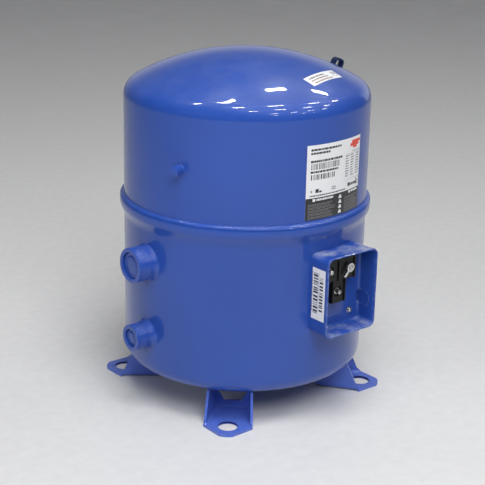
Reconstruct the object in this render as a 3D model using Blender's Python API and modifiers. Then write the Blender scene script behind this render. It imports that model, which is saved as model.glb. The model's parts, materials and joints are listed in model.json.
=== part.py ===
"""Hermetic reciprocating compressor, four cylinders, 271 cc per turn.

The shell axis is Z and the undersides of the feet are at z = 0. The pipe
fittings face -X and the terminal box faces -Y. The motor is above the pump.
Lengths are in metres.
"""
import bpy
import bmesh
from math import asin, atan2, cos, pi, radians, sin, sqrt
from mathutils import Matrix, Vector

GAP = 0.0003

# Welded shell
SHELL_RADIUS = 0.176
SHELL_WALL = 0.004
SHELL_BOTTOM = 0.048
BOTTOM_CORNER = 0.020
DOME_TOP = 0.502
CROWN_RADIUS = 0.332
KNUCKLE_RADIUS = 0.026
SKIRT_END = 0.276
MOUTH_TOP = 0.292
MOUTH_RADIUS = 0.182
SHELL_STEPS = 48
ROUND_STEPS = 24
SMALL_STEPS = 12

# Mounting feet, one on each diagonal
FOOT_HOLE_CIRCLE = 0.181
FOOT_HOLE_RADIUS = 0.014
FOOT_HALF_WIDTH = 0.035
FOOT_SHEET = 0.0035
FOOT_TIP = 0.208
FOOT_SIDE = 0.180
FOOT_REAR = 0.116
FOOT_REAR_HALF_WIDTH = 0.027
FOOT_NOSE = 0.008

# Fittings: height, outside radius and outer face
INNER_END = 0.1723
SUCTION_HEIGHT = 0.220
SUCTION_RADIUS = 0.025
SUCTION_FACE = 0.204
DISCHARGE_HEIGHT = 0.112
DISCHARGE_RADIUS = 0.0192
DISCHARGE_FACE = 0.204
SIGHT_GLASS_HEIGHT = 0.105
SIGHT_GLASS_RADIUS = 0.019
SIGHT_GLASS_FACE = 0.204
EQUALISING_HEIGHT = 0.105
EQUALISING_RADIUS = 0.010
EQUALISING_FACE = 0.195
GAUGE_ANGLE = radians(-69.3)
GAUGE_HEIGHT = 0.366
GAUGE_RADIUS = 0.0065

# Terminal box
BOX_CENTRE_X = 0.020
BOX_HALF_WIDTH = 0.0455
BOX_LOW = 0.1365
BOX_HIGH = 0.2515
BOX_FRONT = 0.211
BOX_BACK_PLATE = 0.180
BOX_SHEET = 0.002
BOX_CORNER = 0.009
TERMINAL_X = 0.008
TERMINAL_HEIGHT = 0.213
TERMINAL_RADIUS = 0.022
ENTRY_RADIUS = 0.0125

# Labels
LABEL_SHEET = 0.0003
NAME_LABEL_ANGLES = (radians(-12.4), radians(23.5))
NAME_LABEL_HEIGHTS = (0.2995, 0.403)
DOME_LABEL_ANGLES = (radians(-0.5), radians(34.5))
DOME_LABEL_RADII = (0.1195, 0.1395)

# Lifting eye, on the far right of the dome
LUG_ANGLE = radians(79.0)
LUG_RADIUS = 0.147
LUG_HALF_WIDTH = 0.008
LUG_HALF_DEPTH = 0.006
LUG_HEIGHT = 0.013
LUG_SHEET = 0.0032
LUG_BEND = 0.0025

# Pump
THROW = 0.012
CRANKPIN_RADIUS = 0.014
JOURNAL_RADIUS = 0.018
LOWER_JOURNAL_RADIUS = 0.014
WEB_RADIUS = 0.030
FIRST_ROD_LEVEL = 0.132
ROD_PITCH = 0.012
ROD_THICKNESS = 0.011
ROD_LENGTH = 0.066
BORE_RADIUS = 0.0304
PISTON_RADIUS = 0.030
PISTON_CROWN = 0.020
PISTON_SKIRT = 0.016
WRIST_PIN_RADIUS = 0.007
BARREL_RADIUS = 0.040
BARREL_END = 0.0995
PLATE_THICKNESS = 0.005
HEAD_DEPTH = 0.022
HEAD_HALF_WIDTH = 0.038
BLOCK_LOW = 0.0915
BLOCK_TOP = 0.2084
CYLINDER_ANGLES = (0.0, pi, pi / 2, -pi / 2)

# Motor
STATOR_RADIUS = 0.1195
STATOR_BORE = 0.0655
STATOR_LOW = 0.245
STATOR_HIGH = 0.395
STATOR_SLOTS = 24
ROTOR_RADIUS = 0.0645
SHAFT_TOP = 0.418

# Colour, roughness and metallic value of each finish
FINISHES = {
    "blue_enamel": ((0.035, 0.085, 0.40), 0.30, 0.0),
    "dark_enamel": ((0.010, 0.020, 0.070), 0.45, 0.0),
    "black_plastic": ((0.012, 0.012, 0.013), 0.45, 0.0),
    "label_film": ((0.80, 0.81, 0.82), 0.40, 0.0),
    "steel": ((0.50, 0.50, 0.51), 0.35, 1.0),
    "cast_iron": ((0.16, 0.16, 0.165), 0.60, 1.0),
    "aluminium": ((0.72, 0.73, 0.74), 0.35, 1.0),
    "copper": ((0.72, 0.34, 0.18), 0.35, 1.0),
    "brass": ((0.71, 0.55, 0.24), 0.30, 1.0),
    "sight_glass": ((0.55, 0.62, 0.60), 0.05, 0.0),
    "insulation": ((0.62, 0.20, 0.08), 0.55, 0.0),
}


def new_collection(name):
    collection = bpy.data.collections.new(name)
    bpy.context.scene.collection.children.link(collection)
    return collection


for old in list(bpy.data.objects):
    bpy.data.objects.remove(old)
parts = new_collection("hermetic_compressor")
cutters = new_collection("cutters")


def new_material(name, finish):
    colour, roughness, metallic = FINISHES[finish]
    material = bpy.data.materials.new(name)
    material.use_nodes = True
    shader = material.node_tree.nodes["Principled BSDF"]
    shader.inputs["Base Color"].default_value = (*colour, 1.0)
    shader.inputs["Roughness"].default_value = roughness
    shader.inputs["Metallic"].default_value = metallic
    return material


def as_part(obj, name, finish):
    """Make a shape a piece of the compressor, with its own material."""
    cutters.objects.unlink(obj)
    parts.objects.link(obj)
    obj.name = name
    obj.hide_render = False
    obj.display_type = "TEXTURED"
    obj.data.materials.clear()
    obj.data.materials.append(new_material(name, finish))
    return obj


def as_tool(mesh, place=Matrix()):
    """Every shape starts as a hidden tool, and some become parts."""
    obj = bpy.data.objects.new("tool", mesh)
    cutters.objects.link(obj)
    obj.matrix_world = place
    obj.hide_render = True
    obj.display_type = "WIRE"
    return obj


def baked(obj):
    """The shape after its modifiers, as a mesh in world space; its tools are removed."""
    bpy.context.view_layer.update()
    graph = bpy.context.evaluated_depsgraph_get()
    mesh = bpy.data.meshes.new_from_object(obj.evaluated_get(graph))
    mesh.transform(obj.matrix_world)
    work = bmesh.new()
    work.from_mesh(mesh)
    bmesh.ops.remove_doubles(work, verts=work.verts, dist=0.000001)
    work.to_mesh(mesh)
    work.free()
    for modifier in obj.modifiers:
        if modifier.type == "BOOLEAN":
            bpy.data.objects.remove(modifier.object)
    bpy.data.objects.remove(obj)
    return mesh


def shade(mesh, angle=35.0):
    mesh.shade_smooth()
    mesh.set_sharp_from_angle(angle=radians(angle))


def boolean(obj, tool, operation):
    modifier = obj.modifiers.new(operation.lower(), "BOOLEAN")
    modifier.operation = operation
    modifier.solver = "EXACT"
    modifier.object = tool
    return obj


def shaped(base, add=(), cut=()):
    """The base joined with some shapes and cut by others."""
    for tool in add:
        boolean(base, tool, "UNION")
    for tool in cut:
        boolean(base, tool, "DIFFERENCE")
    return base


def box(low, high, place=Matrix()):
    size = Vector(high) - Vector(low)
    centre = (Vector(high) + Vector(low)) / 2
    mesh = bpy.data.meshes.new("box")
    work = bmesh.new()
    matrix = Matrix.Translation(centre) @ Matrix.Diagonal((*size, 1.0))
    bmesh.ops.create_cube(work, size=1.0, matrix=matrix)
    work.to_mesh(mesh)
    work.free()
    return as_tool(mesh, place)


def cylinder(radius, low, high, steps=ROUND_STEPS, place=Matrix(), centre=(0.0, 0.0)):
    mesh = bpy.data.meshes.new("cylinder")
    work = bmesh.new()
    matrix = Matrix.Translation((*centre, (low + high) / 2))
    bmesh.ops.create_cone(work, cap_ends=True, segments=steps, radius1=radius,
                          radius2=radius, depth=high - low, matrix=matrix)
    work.to_mesh(mesh)
    work.free()
    shade(mesh)
    return as_tool(mesh, place)


def turned(profile, steps=ROUND_STEPS, place=Matrix(), ring=False):
    """A (radius, height) profile turned about Z; it runs down its outer side."""
    edges = [(i, i + 1) for i in range(len(profile) - 1)]
    if ring:
        edges.append((len(profile) - 1, 0))
    mesh = bpy.data.meshes.new("turned")
    mesh.from_pydata([(r, 0.0, z) for r, z in profile], edges, [])
    obj = as_tool(mesh, place)
    screw = obj.modifiers.new("turn", "SCREW")
    screw.axis = "Z"
    screw.angle = 2 * pi
    screw.steps = steps
    screw.render_steps = steps
    screw.use_merge_vertices = True
    screw.merge_threshold = 0.000001
    return obj


def prism(outline, low, high, place=Matrix(), holes=()):
    """A flat outline, with any holes, filled and extruded along Z."""
    curve = bpy.data.curves.new("outline", "CURVE")
    curve.dimensions = "2D"
    curve.fill_mode = "BOTH"
    curve.extrude = (high - low) / 2
    for points in (outline, *holes):
        spline = curve.splines.new("POLY")
        spline.points.add(len(points) - 1)
        for target, (x, y) in zip(spline.points, points):
            target.co = (x, y, 0.0, 1.0)
        spline.use_cyclic_u = True
    lift = Matrix.Translation((0.0, 0.0, (low + high) / 2))
    mesh = baked(as_tool(curve))
    mesh.transform(lift)
    return as_tool(mesh, place)


def tube(points, radius, resolution=2):
    """A round bar along a smooth route, with closed ends."""
    curve = bpy.data.curves.new("route", "CURVE")
    curve.dimensions = "3D"
    curve.bevel_depth = radius
    curve.bevel_resolution = resolution
    curve.use_fill_caps = True
    spline = curve.splines.new("POLY")
    spline.points.add(len(points) - 1)
    for target, point in zip(spline.points, points):
        target.co = (*point, 1.0)
    return as_tool(curve)


def smooth_route(points, per_span=4):
    """Catmull-Rom curve through the points."""
    ends = [points[0] * 2 - points[1], *points, points[-1] * 2 - points[-2]]
    route = []
    for a, b, c, d in zip(ends, ends[1:], ends[2:], ends[3:]):
        for step in range(per_span):
            t = step / per_span
            bend = (2 * a - 5 * b + 4 * c - d) * t * t
            twist = (3 * b - a - 3 * c + d) * t * t * t
            route.append((2 * b + (c - a) * t + bend + twist) / 2)
    return [*route, points[-1]]


def arc(centre_x, centre_y, radius, start, end, steps):
    """Points of an arc; angles run from the x axis."""
    angles = [start + (end - start) * i / steps for i in range(steps + 1)]
    return [(centre_x + radius * cos(a), centre_y + radius * sin(a)) for a in angles]


def facing(angle, height=0.0):
    """Local Z points away from the shell axis; the angle starts at -Y and grows towards +X."""
    outward = Vector((sin(angle), -cos(angle), 0.0))
    across = Vector((0.0, 0.0, 1.0)).cross(outward)
    up = outward.cross(across)
    matrix = Matrix((across, up, outward)).transposed().to_4x4()
    return Matrix.Translation((0.0, 0.0, height)) @ matrix


def turn_z(angle):
    return Matrix.Rotation(angle, 4, "Z")


def along_x(place=Matrix()):
    """Local Z of a shape becomes +X."""
    return place @ Matrix.Rotation(pi / 2, 4, "Y")


TO_LEFT = -pi / 2
TO_RIGHT = pi / 2
TO_BACK = pi
TO_FRONT = 0.0


def dome_outline(inset, steps):
    """Crown and knuckle of the dome from its apex outwards, as (radius, height)."""
    crown = CROWN_RADIUS - inset
    knuckle = KNUCKLE_RADIUS - inset
    crown_centre = DOME_TOP - CROWN_RADIUS
    knuckle_middle = SHELL_RADIUS - KNUCKLE_RADIUS
    rise = sqrt((CROWN_RADIUS - KNUCKLE_RADIUS) ** 2 - knuckle_middle ** 2)
    meet = atan2(knuckle_middle, rise)
    points = [(crown * sin(meet * i / steps), crown_centre + crown * cos(meet * i / steps))
              for i in range(steps)]
    points[0] = (0.0, crown_centre + crown)
    for i in range(steps):
        angle = meet + (pi / 2 - meet) * i / (steps - 1)
        points.append((knuckle_middle + knuckle * sin(angle),
                       crown_centre + rise + knuckle * cos(angle)))
    return points


def make_upper_shell():
    outer = dome_outline(0.0, 4)
    inner = dome_outline(SHELL_WALL, 3)
    skirt = [(SHELL_RADIUS, SKIRT_END), (SHELL_RADIUS - SHELL_WALL, SKIRT_END)]
    shell = turned([*outer, *skirt, *reversed(inner)], SHELL_STEPS)
    stub = cylinder(GAUGE_RADIUS + GAP, 0.150, 0.200, SMALL_STEPS,
                    facing(GAUGE_ANGLE, GAUGE_HEIGHT))
    as_part(shaped(shell, cut=[stub]), "upper_shell", "blue_enamel")


def make_lower_shell():
    inside = SHELL_RADIUS - SHELL_WALL
    socket = SHELL_RADIUS + GAP
    corner_z = SHELL_BOTTOM + BOTTOM_CORNER
    middle = SHELL_RADIUS - BOTTOM_CORNER
    inner = arc(middle, corner_z, BOTTOM_CORNER - SHELL_WALL, -pi / 2, 0.0, 2)
    outer = arc(middle, corner_z, BOTTOM_CORNER, 0.0, -pi / 2, 3)
    mouth = [(inside, 0.2735), (socket, 0.2750), (socket, MOUTH_TOP),
             (MOUTH_RADIUS, MOUTH_TOP), (MOUTH_RADIUS, 0.2860),
             (0.1795, 0.2740), (SHELL_RADIUS, 0.2640)]
    floor_in = (0.0, SHELL_BOTTOM + SHELL_WALL)
    floor_out = (0.0, SHELL_BOTTOM)
    shell = turned([floor_in, *inner, *mouth, *outer, floor_out], SHELL_STEPS)
    holes = [
        cylinder(SUCTION_RADIUS + GAP, 0.15, 0.20, place=facing(TO_LEFT, SUCTION_HEIGHT)),
        cylinder(DISCHARGE_RADIUS + GAP, 0.15, 0.20,
                 place=facing(TO_LEFT, DISCHARGE_HEIGHT)),
        cylinder(SIGHT_GLASS_RADIUS + GAP, 0.15, 0.20,
                 place=facing(TO_RIGHT, SIGHT_GLASS_HEIGHT)),
        cylinder(EQUALISING_RADIUS + GAP, 0.15, 0.20, SMALL_STEPS,
                 facing(TO_BACK, EQUALISING_HEIGHT)),
        cylinder(TERMINAL_RADIUS + GAP, 0.15, 0.20, place=facing(TO_FRONT, TERMINAL_HEIGHT),
                 centre=(TERMINAL_X, 0.0)),
    ]
    as_part(shaped(shell, cut=holes), "lower_shell", "blue_enamel")


def make_seam_weld():
    start = SHELL_RADIUS + 0.0004
    low = MOUTH_TOP + GAP
    profile = [(start, low + 0.0045), (0.1795, low + 0.0033), (0.1816, low), (start, low)]
    as_part(turned(profile, SHELL_STEPS, ring=True), "seam_weld", "blue_enamel")


def foot_mesh():
    """Pressed foot pointing along +X: plate, two side flanges, and a low upstand at the rear."""
    half = FOOT_HALF_WIDTH
    rear_half = FOOT_REAR_HALF_WIDTH
    sheet = FOOT_SHEET
    nose = FOOT_NOSE
    plate = prism([(FOOT_REAR, -rear_half), (FOOT_SIDE, -half), (FOOT_TIP - 0.002, -nose),
                   (FOOT_TIP, -nose / 2), (FOOT_TIP, nose / 2), (FOOT_TIP - 0.002, nose),
                   (FOOT_SIDE, half), (FOOT_REAR, rear_half)], 0.0, sheet)
    top = SHELL_BOTTOM - GAP
    upright = Matrix.Rotation(pi / 2, 4, "X")
    turn = atan2(half - rear_half, FOOT_SIDE - FOOT_REAR)
    length = (FOOT_SIDE - FOOT_REAR) / cos(turn) - 0.0003
    side = [(-length, 0.0005), (-0.0008, 0.0005), (-0.0205, top + 0.0008), (-0.0270, top),
            (-length, top)]
    right = Matrix.Translation((FOOT_SIDE, -half, 0.0)) @ turn_z(-turn) @ upright
    left = Matrix.Translation((FOOT_SIDE, half, 0.0)) @ turn_z(turn) @ upright
    flanges = [prism(side, -sheet, 0.0, right), prism(side, 0.0, sheet, left)]
    edge = rear_half - 0.0006
    upstand = [(0.0005, -edge), (0.030, -edge), (0.018, -edge + 0.007),
               (0.0135, -edge + 0.015), (0.0135, edge - 0.015), (0.018, edge - 0.007),
               (0.030, edge), (0.0005, edge)]
    rear = prism([(-z, y) for z, y in upstand], FOOT_REAR + 0.0002, FOOT_REAR + sheet,
                 along_x())
    hole = cylinder(FOOT_HOLE_RADIUS, -0.01, 0.02, centre=(FOOT_HOLE_CIRCLE, 0.0))
    return baked(shaped(plate, add=[*flanges, rear], cut=[hole]))


def make_feet():
    mesh = foot_mesh()
    corners = {"front": 225.0, "right": 315.0, "back": 45.0, "left": 135.0}
    for corner, degrees in corners.items():
        foot = as_tool(mesh.copy(), turn_z(radians(degrees)))
        as_part(foot, "mounting_foot_" + corner, "blue_enamel")


def make_fitting(name, place, boss, base_radius, radius, bore, face, step_radius,
                 steps=ROUND_STEPS):
    """Steel fitting: a boss that sits on the shell, and a tube through the wall."""
    flare = [(base_radius, 0.165), (base_radius, SHELL_RADIUS + 0.001),
             (radius - 0.001, boss)]
    base = turned([(bore + 0.0005, boss), *reversed(flare), (bore + 0.0005, 0.165)],
                  steps, place, ring=True)
    shell = cylinder(SHELL_RADIUS + GAP, 0.0, 0.45, SHELL_STEPS)
    lip = 0.0012
    neck = turned([(step_radius, face), (radius - lip, face), (radius, face - lip),
                   (radius, INNER_END), (bore, INNER_END), (bore, face - 0.012),
                   (step_radius, face - 0.012)], steps, place, ring=True)
    boolean(base, shell, "DIFFERENCE")
    boolean(base, neck, "UNION")
    as_part(base, name, "blue_enamel")


def make_suction_port():
    place = facing(TO_LEFT, SUCTION_HEIGHT)
    make_fitting("suction_port", place, 0.1815, 0.0295, SUCTION_RADIUS, 0.014,
                 SUCTION_FACE, 0.019)
    plug = turned([(0.0, SUCTION_FACE - 0.003), (0.0155, SUCTION_FACE - 0.003),
                   (0.0187, SUCTION_FACE - 0.005), (0.0187, SUCTION_FACE - 0.0117),
                   (0.0, SUCTION_FACE - 0.0117)], place=place)
    as_part(plug, "suction_plug", "blue_enamel")


def make_discharge_port():
    place = facing(TO_LEFT, DISCHARGE_HEIGHT)
    make_fitting("discharge_port", place, 0.1840, 0.026, DISCHARGE_RADIUS, 0.009,
                 DISCHARGE_FACE, 0.013)
    plug = turned([(0.0, DISCHARGE_FACE - 0.002), (0.0105, DISCHARGE_FACE - 0.002),
                   (0.0127, DISCHARGE_FACE - 0.004), (0.0127, DISCHARGE_FACE - 0.0117),
                   (0.0, DISCHARGE_FACE - 0.0117)], place=place)
    as_part(plug, "discharge_plug", "blue_enamel")


def make_sight_glass():
    place = facing(TO_RIGHT, SIGHT_GLASS_HEIGHT)
    make_fitting("sight_glass_body", place, 0.1830, 0.025, SIGHT_GLASS_RADIUS, 0.010,
                 SIGHT_GLASS_FACE, 0.013)
    lens = turned([(0.0, SIGHT_GLASS_FACE - 0.0045), (0.0127, SIGHT_GLASS_FACE - 0.0045),
                   (0.0127, SIGHT_GLASS_FACE - 0.0117), (0.0, SIGHT_GLASS_FACE - 0.0117)],
                  place=place)
    as_part(lens, "sight_glass_lens", "sight_glass")


def make_equalising_port():
    place = facing(TO_BACK, EQUALISING_HEIGHT)
    make_fitting("equalising_port", place, 0.1800, 0.014, EQUALISING_RADIUS, 0.005,
                 EQUALISING_FACE, 0.007, SMALL_STEPS)
    cap = turned([(0.0, 0.211), (0.0120, 0.211), (0.0135, 0.209), (0.0135, 0.1975),
                  (0.0120, 0.1953), (0.0, 0.1953)], 6, place)
    as_part(cap, "equalising_cap", "brass")


def make_gauge_valve():
    place = facing(GAUGE_ANGLE, GAUGE_HEIGHT)
    stub = turned([(0.0030, 0.1845), (GAUGE_RADIUS, 0.1845), (GAUGE_RADIUS, INNER_END),
                   (0.0030, INNER_END)], SMALL_STEPS, place, ring=True)
    as_part(stub, "gauge_valve_stub", "blue_enamel")
    cap = turned([(0.0, 0.1925), (0.0062, 0.1925), (0.0075, 0.1910), (0.0075, 0.1848),
                  (0.0, 0.1848)], SMALL_STEPS, place)
    as_part(cap, "gauge_valve_cap", "blue_enamel")


def make_lifting_eye():
    """Bent strap whose arch stands square on the dome, in a plane through the shell axis."""
    slope = asin(LUG_RADIUS / CROWN_RADIUS)
    foot_z = DOME_TOP - CROWN_RADIUS + CROWN_RADIUS * cos(slope)
    inner = LUG_HALF_WIDTH - LUG_SHEET
    middle = inner - LUG_BEND
    height = LUG_HEIGHT - LUG_SHEET - LUG_BEND
    wide = LUG_BEND + LUG_SHEET
    low = 0.0004
    outside = [(LUG_HALF_WIDTH, low), *arc(middle, height, wide, 0.0, pi / 2, 3),
               *arc(-middle, height, wide, pi / 2, pi, 3), (-LUG_HALF_WIDTH, low)]
    inside = [(-inner, low), *arc(-middle, height, LUG_BEND, pi, pi / 2, 3),
              *arc(middle, height, LUG_BEND, pi / 2, 0.0, 3), (inner, low)]
    upright = Matrix.Rotation(pi / 2, 4, "X")
    outward = turn_z(LUG_ANGLE - pi / 2)
    spot = Matrix.Translation((LUG_RADIUS, 0.0, foot_z)) @ Matrix.Rotation(slope, 4, "Y")
    eye = prism([*outside, *inside], -LUG_HALF_DEPTH, LUG_HALF_DEPTH,
                outward @ spot @ upright)
    as_part(eye, "lifting_eye", "dark_enamel")


def rounded_rectangle(half_width, low, high, corner):
    """Upright outline around x = 0, with round corners."""
    middle = half_width - corner
    quarters = [(middle, high - corner, 0.0), (-middle, high - corner, pi / 2),
                (-middle, low + corner, pi), (middle, low + corner, 3 * pi / 2)]
    points = []
    for x, y, start in quarters:
        points.extend(arc(x, y, corner, start, start + pi / 2, 4))
    return points


def make_terminal_box():
    """Pressed box open at the front; its side walls run back to the round shell."""
    place = facing(TO_FRONT) @ Matrix.Translation((BOX_CENTRE_X, 0.0, 0.0))
    outline = rounded_rectangle(BOX_HALF_WIDTH, BOX_LOW, BOX_HIGH, BOX_CORNER)
    opening = rounded_rectangle(BOX_HALF_WIDTH - BOX_SHEET, BOX_LOW + BOX_SHEET,
                                BOX_HIGH - BOX_SHEET, BOX_CORNER - BOX_SHEET)
    walls = prism(outline, 0.140, BOX_FRONT, place)
    inside = prism(opening, BOX_BACK_PLATE, 0.30, place)
    behind = prism(opening, 0.10, BOX_BACK_PLATE - BOX_SHEET, place)
    shell = cylinder(SHELL_RADIUS + GAP, 0.0, 0.45, SHELL_STEPS)
    terminal = cylinder(TERMINAL_RADIUS + GAP, 0.15, 0.20, centre=(TERMINAL_X, 0.0),
                        place=facing(TO_FRONT, TERMINAL_HEIGHT))
    wall_x = BOX_CENTRE_X + BOX_HALF_WIDTH
    knockout = along_x(Matrix.Translation((0.0, -0.189, 0.172)))
    entry = cylinder(ENTRY_RADIUS + GAP, wall_x - 0.006, wall_x + 0.004, place=knockout)
    as_part(shaped(walls, cut=[inside, behind, shell, terminal, entry]),
            "terminal_box", "blue_enamel")
    disc = cylinder(ENTRY_RADIUS, wall_x - 0.0018, wall_x - 0.0002, place=knockout)
    as_part(disc, "cable_entry_knockout", "blue_enamel")


def make_terminals():
    place = facing(TO_FRONT) @ Matrix.Translation((TERMINAL_X, 0.0, 0.0))
    sealed = cylinder(TERMINAL_RADIUS, INNER_END - 0.003, BOX_BACK_PLATE + 0.0015,
                      place=facing(TO_FRONT, TERMINAL_HEIGHT), centre=(TERMINAL_X, 0.0))
    as_part(sealed, "hermetic_terminal", "steel")
    block = prism([(-0.0125, 0.179), (0.0125, 0.179), (0.0125, 0.2105), (0.0310, 0.2105),
                   (0.0310, 0.2440), (-0.0310, 0.2440), (-0.0310, 0.2105),
                   (-0.0125, 0.2105)], BOX_BACK_PLATE + 0.0018, 0.198, place)
    as_part(block, "terminal_block", "black_plastic")
    spots = {"left": (-0.018, 0.2278), "right": (0.018, 0.2278), "lower": (-0.002, 0.1965)}
    for side, spot in spots.items():
        screw = cylinder(0.0045, 0.1983, 0.2025, SMALL_STEPS, place, spot)
        as_part(screw, "terminal_screw_" + side, "steel")
    earth = cylinder(0.005, BOX_BACK_PLATE + GAP, BOX_BACK_PLATE + 0.004, SMALL_STEPS,
                     facing(TO_FRONT), (0.0455, 0.1546))
    as_part(earth, "earth_screw", "steel")


def make_labels():
    """Thin films: on the shell, on the dome and on the side of the terminal box."""
    start, end = (angle - pi / 2 for angle in NAME_LABEL_ANGLES)
    inner = SHELL_RADIUS + 0.00045
    strip = [*arc(0.0, 0.0, inner + LABEL_SHEET, start, end, 8),
             *arc(0.0, 0.0, inner, end, start, 8)]
    as_part(prism(strip, *NAME_LABEL_HEIGHTS), "name_label", "label_film")

    mesh = bpy.data.meshes.new("dome_label")
    work = bmesh.new()
    bmesh.ops.create_grid(work, x_segments=6, y_segments=2, size=1.0)
    for vert in work.verts:
        along = (vert.co.x + 1) / 2
        across = (vert.co.y + 1) / 2
        angle = DOME_LABEL_ANGLES[0] + along * (DOME_LABEL_ANGLES[1] - DOME_LABEL_ANGLES[0])
        radius = DOME_LABEL_RADII[1] + across * (DOME_LABEL_RADII[0] - DOME_LABEL_RADII[1])
        slope = asin(radius / CROWN_RADIUS)
        reach = CROWN_RADIUS + 0.0005
        vert.co = (reach * sin(slope) * sin(angle), -reach * sin(slope) * cos(angle),
                   DOME_TOP - CROWN_RADIUS + reach * cos(slope))
    work.to_mesh(mesh)
    work.free()
    film = as_tool(mesh)
    solidify = film.modifiers.new("film", "SOLIDIFY")
    solidify.thickness = LABEL_SHEET
    solidify.offset = 1.0
    as_part(film, "dome_label", "label_film")

    wall = BOX_CENTRE_X - BOX_HALF_WIDTH - GAP
    film = box((wall - LABEL_SHEET, -0.2050, 0.160), (wall, -0.1780, 0.234))
    as_part(film, "box_label", "label_film")


def cylinder_place(index):
    """Axis frame of one cylinder: +X runs outwards at its rod's level."""
    level = FIRST_ROD_LEVEL + index * ROD_PITCH
    return Matrix.Translation((0.0, 0.0, level)) @ turn_z(CYLINDER_ANGLES[index])


def make_cylinder_block():
    block = cylinder(0.060, BLOCK_LOW, BLOCK_TOP)
    barrels = []
    bores = []
    for index in range(4):
        place = along_x(cylinder_place(index))
        barrels.append(cylinder(BARREL_RADIUS, 0.030, BARREL_END, place=place))
        bores.append(cylinder(BORE_RADIUS, 0.036, 0.15, place=place))
    boss = cylinder(0.030, 0.200, 0.226)
    chamber = cylinder(0.044, 0.05, 0.190)
    bearing = cylinder(JOURNAL_RADIUS + 0.0005, 0.15, 0.30)
    as_part(shaped(block, add=[*barrels, boss], cut=[chamber, bearing, *bores]),
            "cylinder_block", "cast_iron")
    lid = BLOCK_LOW - GAP
    cover = turned([(0.0144, lid), (0.050, lid), (0.050, lid - 0.006), (0.026, lid - 0.006),
                    (0.024, lid - 0.0115), (0.0144, lid - 0.0115)], ring=True)
    as_part(cover, "lower_bearing_cover", "cast_iron")


def make_crank():
    shaft = cylinder(JOURNAL_RADIUS, 0.186, SHAFT_TOP)
    upper_web = cylinder(WEB_RADIUS, 0.1745, 0.187)
    pin = cylinder(CRANKPIN_RADIUS, 0.1235, 0.1755, centre=(THROW, 0.0))
    lower_web = cylinder(WEB_RADIUS, 0.1125, 0.1240)
    journal = cylinder(LOWER_JOURNAL_RADIUS, 0.0780, 0.1130)
    oil_pickup = cylinder(0.0070, 0.0590, 0.0790, SMALL_STEPS)
    oil_hole = cylinder(0.0035, 0.0500, 0.1100, SMALL_STEPS)
    as_part(shaped(shaft, add=[upper_web, pin, lower_web, journal, oil_pickup],
                   cut=[oil_hole]), "crankshaft", "steel")
    washer = turned([(0.0207, 0.0016), (0.0270, 0.0016), (0.0270, 0.0), (0.0207, 0.0)],
                    place=Matrix.Translation((THROW / 2, 0.0, 0.1243)), ring=True)
    as_part(washer, "thrust_washer", "brass")


def rod_mesh():
    """Connecting rod along +X with its open-sided big end at the origin."""
    slide = THROW + GAP
    inner = CRANKPIN_RADIUS + 0.0005
    outer = inner + 0.0055
    half = ROD_THICKNESS / 2

    def stadium(radius, steps):
        return [*arc(0.0, slide, radius, 0.0, pi, steps),
                *arc(0.0, -slide, radius, pi, 2 * pi, steps)]

    eye = prism(stadium(outer, 5), -half, half)
    shank = box((outer - 0.002, -0.008, -half), (ROD_LENGTH - 0.004, 0.008, half))
    small_end = cylinder(0.011, -half, half, SMALL_STEPS, centre=(ROD_LENGTH, 0.0))
    slot = prism(stadium(inner, 8), -0.02, 0.02)
    pin_hole = cylinder(WRIST_PIN_RADIUS + GAP, -0.02, 0.02, SMALL_STEPS,
                        centre=(ROD_LENGTH, 0.0))
    return baked(shaped(eye, add=[shank, small_end], cut=[slot, pin_hole]))


def piston_mesh():
    """Piston with its crown towards +X and its wrist pin axis at the origin, along Z."""
    body = cylinder(PISTON_RADIUS, -PISTON_SKIRT, PISTON_CROWN, place=along_x())
    hollow = cylinder(0.0255, -0.05, PISTON_CROWN - 0.006, place=along_x())
    pin_hole = cylinder(WRIST_PIN_RADIUS + GAP, -0.04, 0.04, SMALL_STEPS)
    return baked(shaped(body, cut=[hollow, pin_hole]))


def make_pump():
    rod = rod_mesh()
    piston = piston_mesh()
    for index, angle in enumerate(CYLINDER_ANGLES):
        number = str(index + 1)
        place = cylinder_place(index)
        big_end = Matrix.Translation((THROW, 0.0, 0.0)) if index < 2 else Matrix()
        at_pin = big_end @ place @ Matrix.Translation((ROD_LENGTH, 0.0, 0.0))
        as_part(as_tool(rod.copy(), big_end @ place), "connecting_rod_" + number, "aluminium")
        as_part(as_tool(piston.copy(), at_pin), "piston_" + number, "aluminium")
        pin = cylinder(WRIST_PIN_RADIUS, -0.0265, 0.0265, SMALL_STEPS, at_pin)
        as_part(pin, "wrist_pin_" + number, "steel")
        low = BARREL_END + GAP
        high = low + PLATE_THICKNESS
        half = HEAD_HALF_WIDTH
        plate = box((low, -half, -half), (high, half, half), place)
        ports = [cylinder(0.007, 0.05, 0.15, SMALL_STEPS, along_x(place), (0.0, y))
                 for y in (-0.014, 0.014)]
        as_part(shaped(plate, cut=ports), "valve_plate_" + number, "steel")
        low = high + GAP
        head = box((low, -half, -half), (low + HEAD_DEPTH, half, half), place)
        room = half - 0.006
        hollow = box((low - 0.01, -room, -room), (low + HEAD_DEPTH - 0.006, room, room), place)
        as_part(shaped(head, cut=[hollow]), "cylinder_head_" + number, "cast_iron")


def make_discharge_pipe():
    start = BARREL_END + PLATE_THICKNESS + HEAD_DEPTH + 3 * GAP
    route = [Vector((-x, 0.0, z)) for x, z in
             ((start, 0.152), (start + 0.012, 0.150), (0.148, 0.133), (0.155, 0.116),
              (INNER_END - 0.0008, DISCHARGE_HEIGHT))]
    as_part(tube(smooth_route(route, 2), 0.006), "discharge_pipe", "copper")


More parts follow.
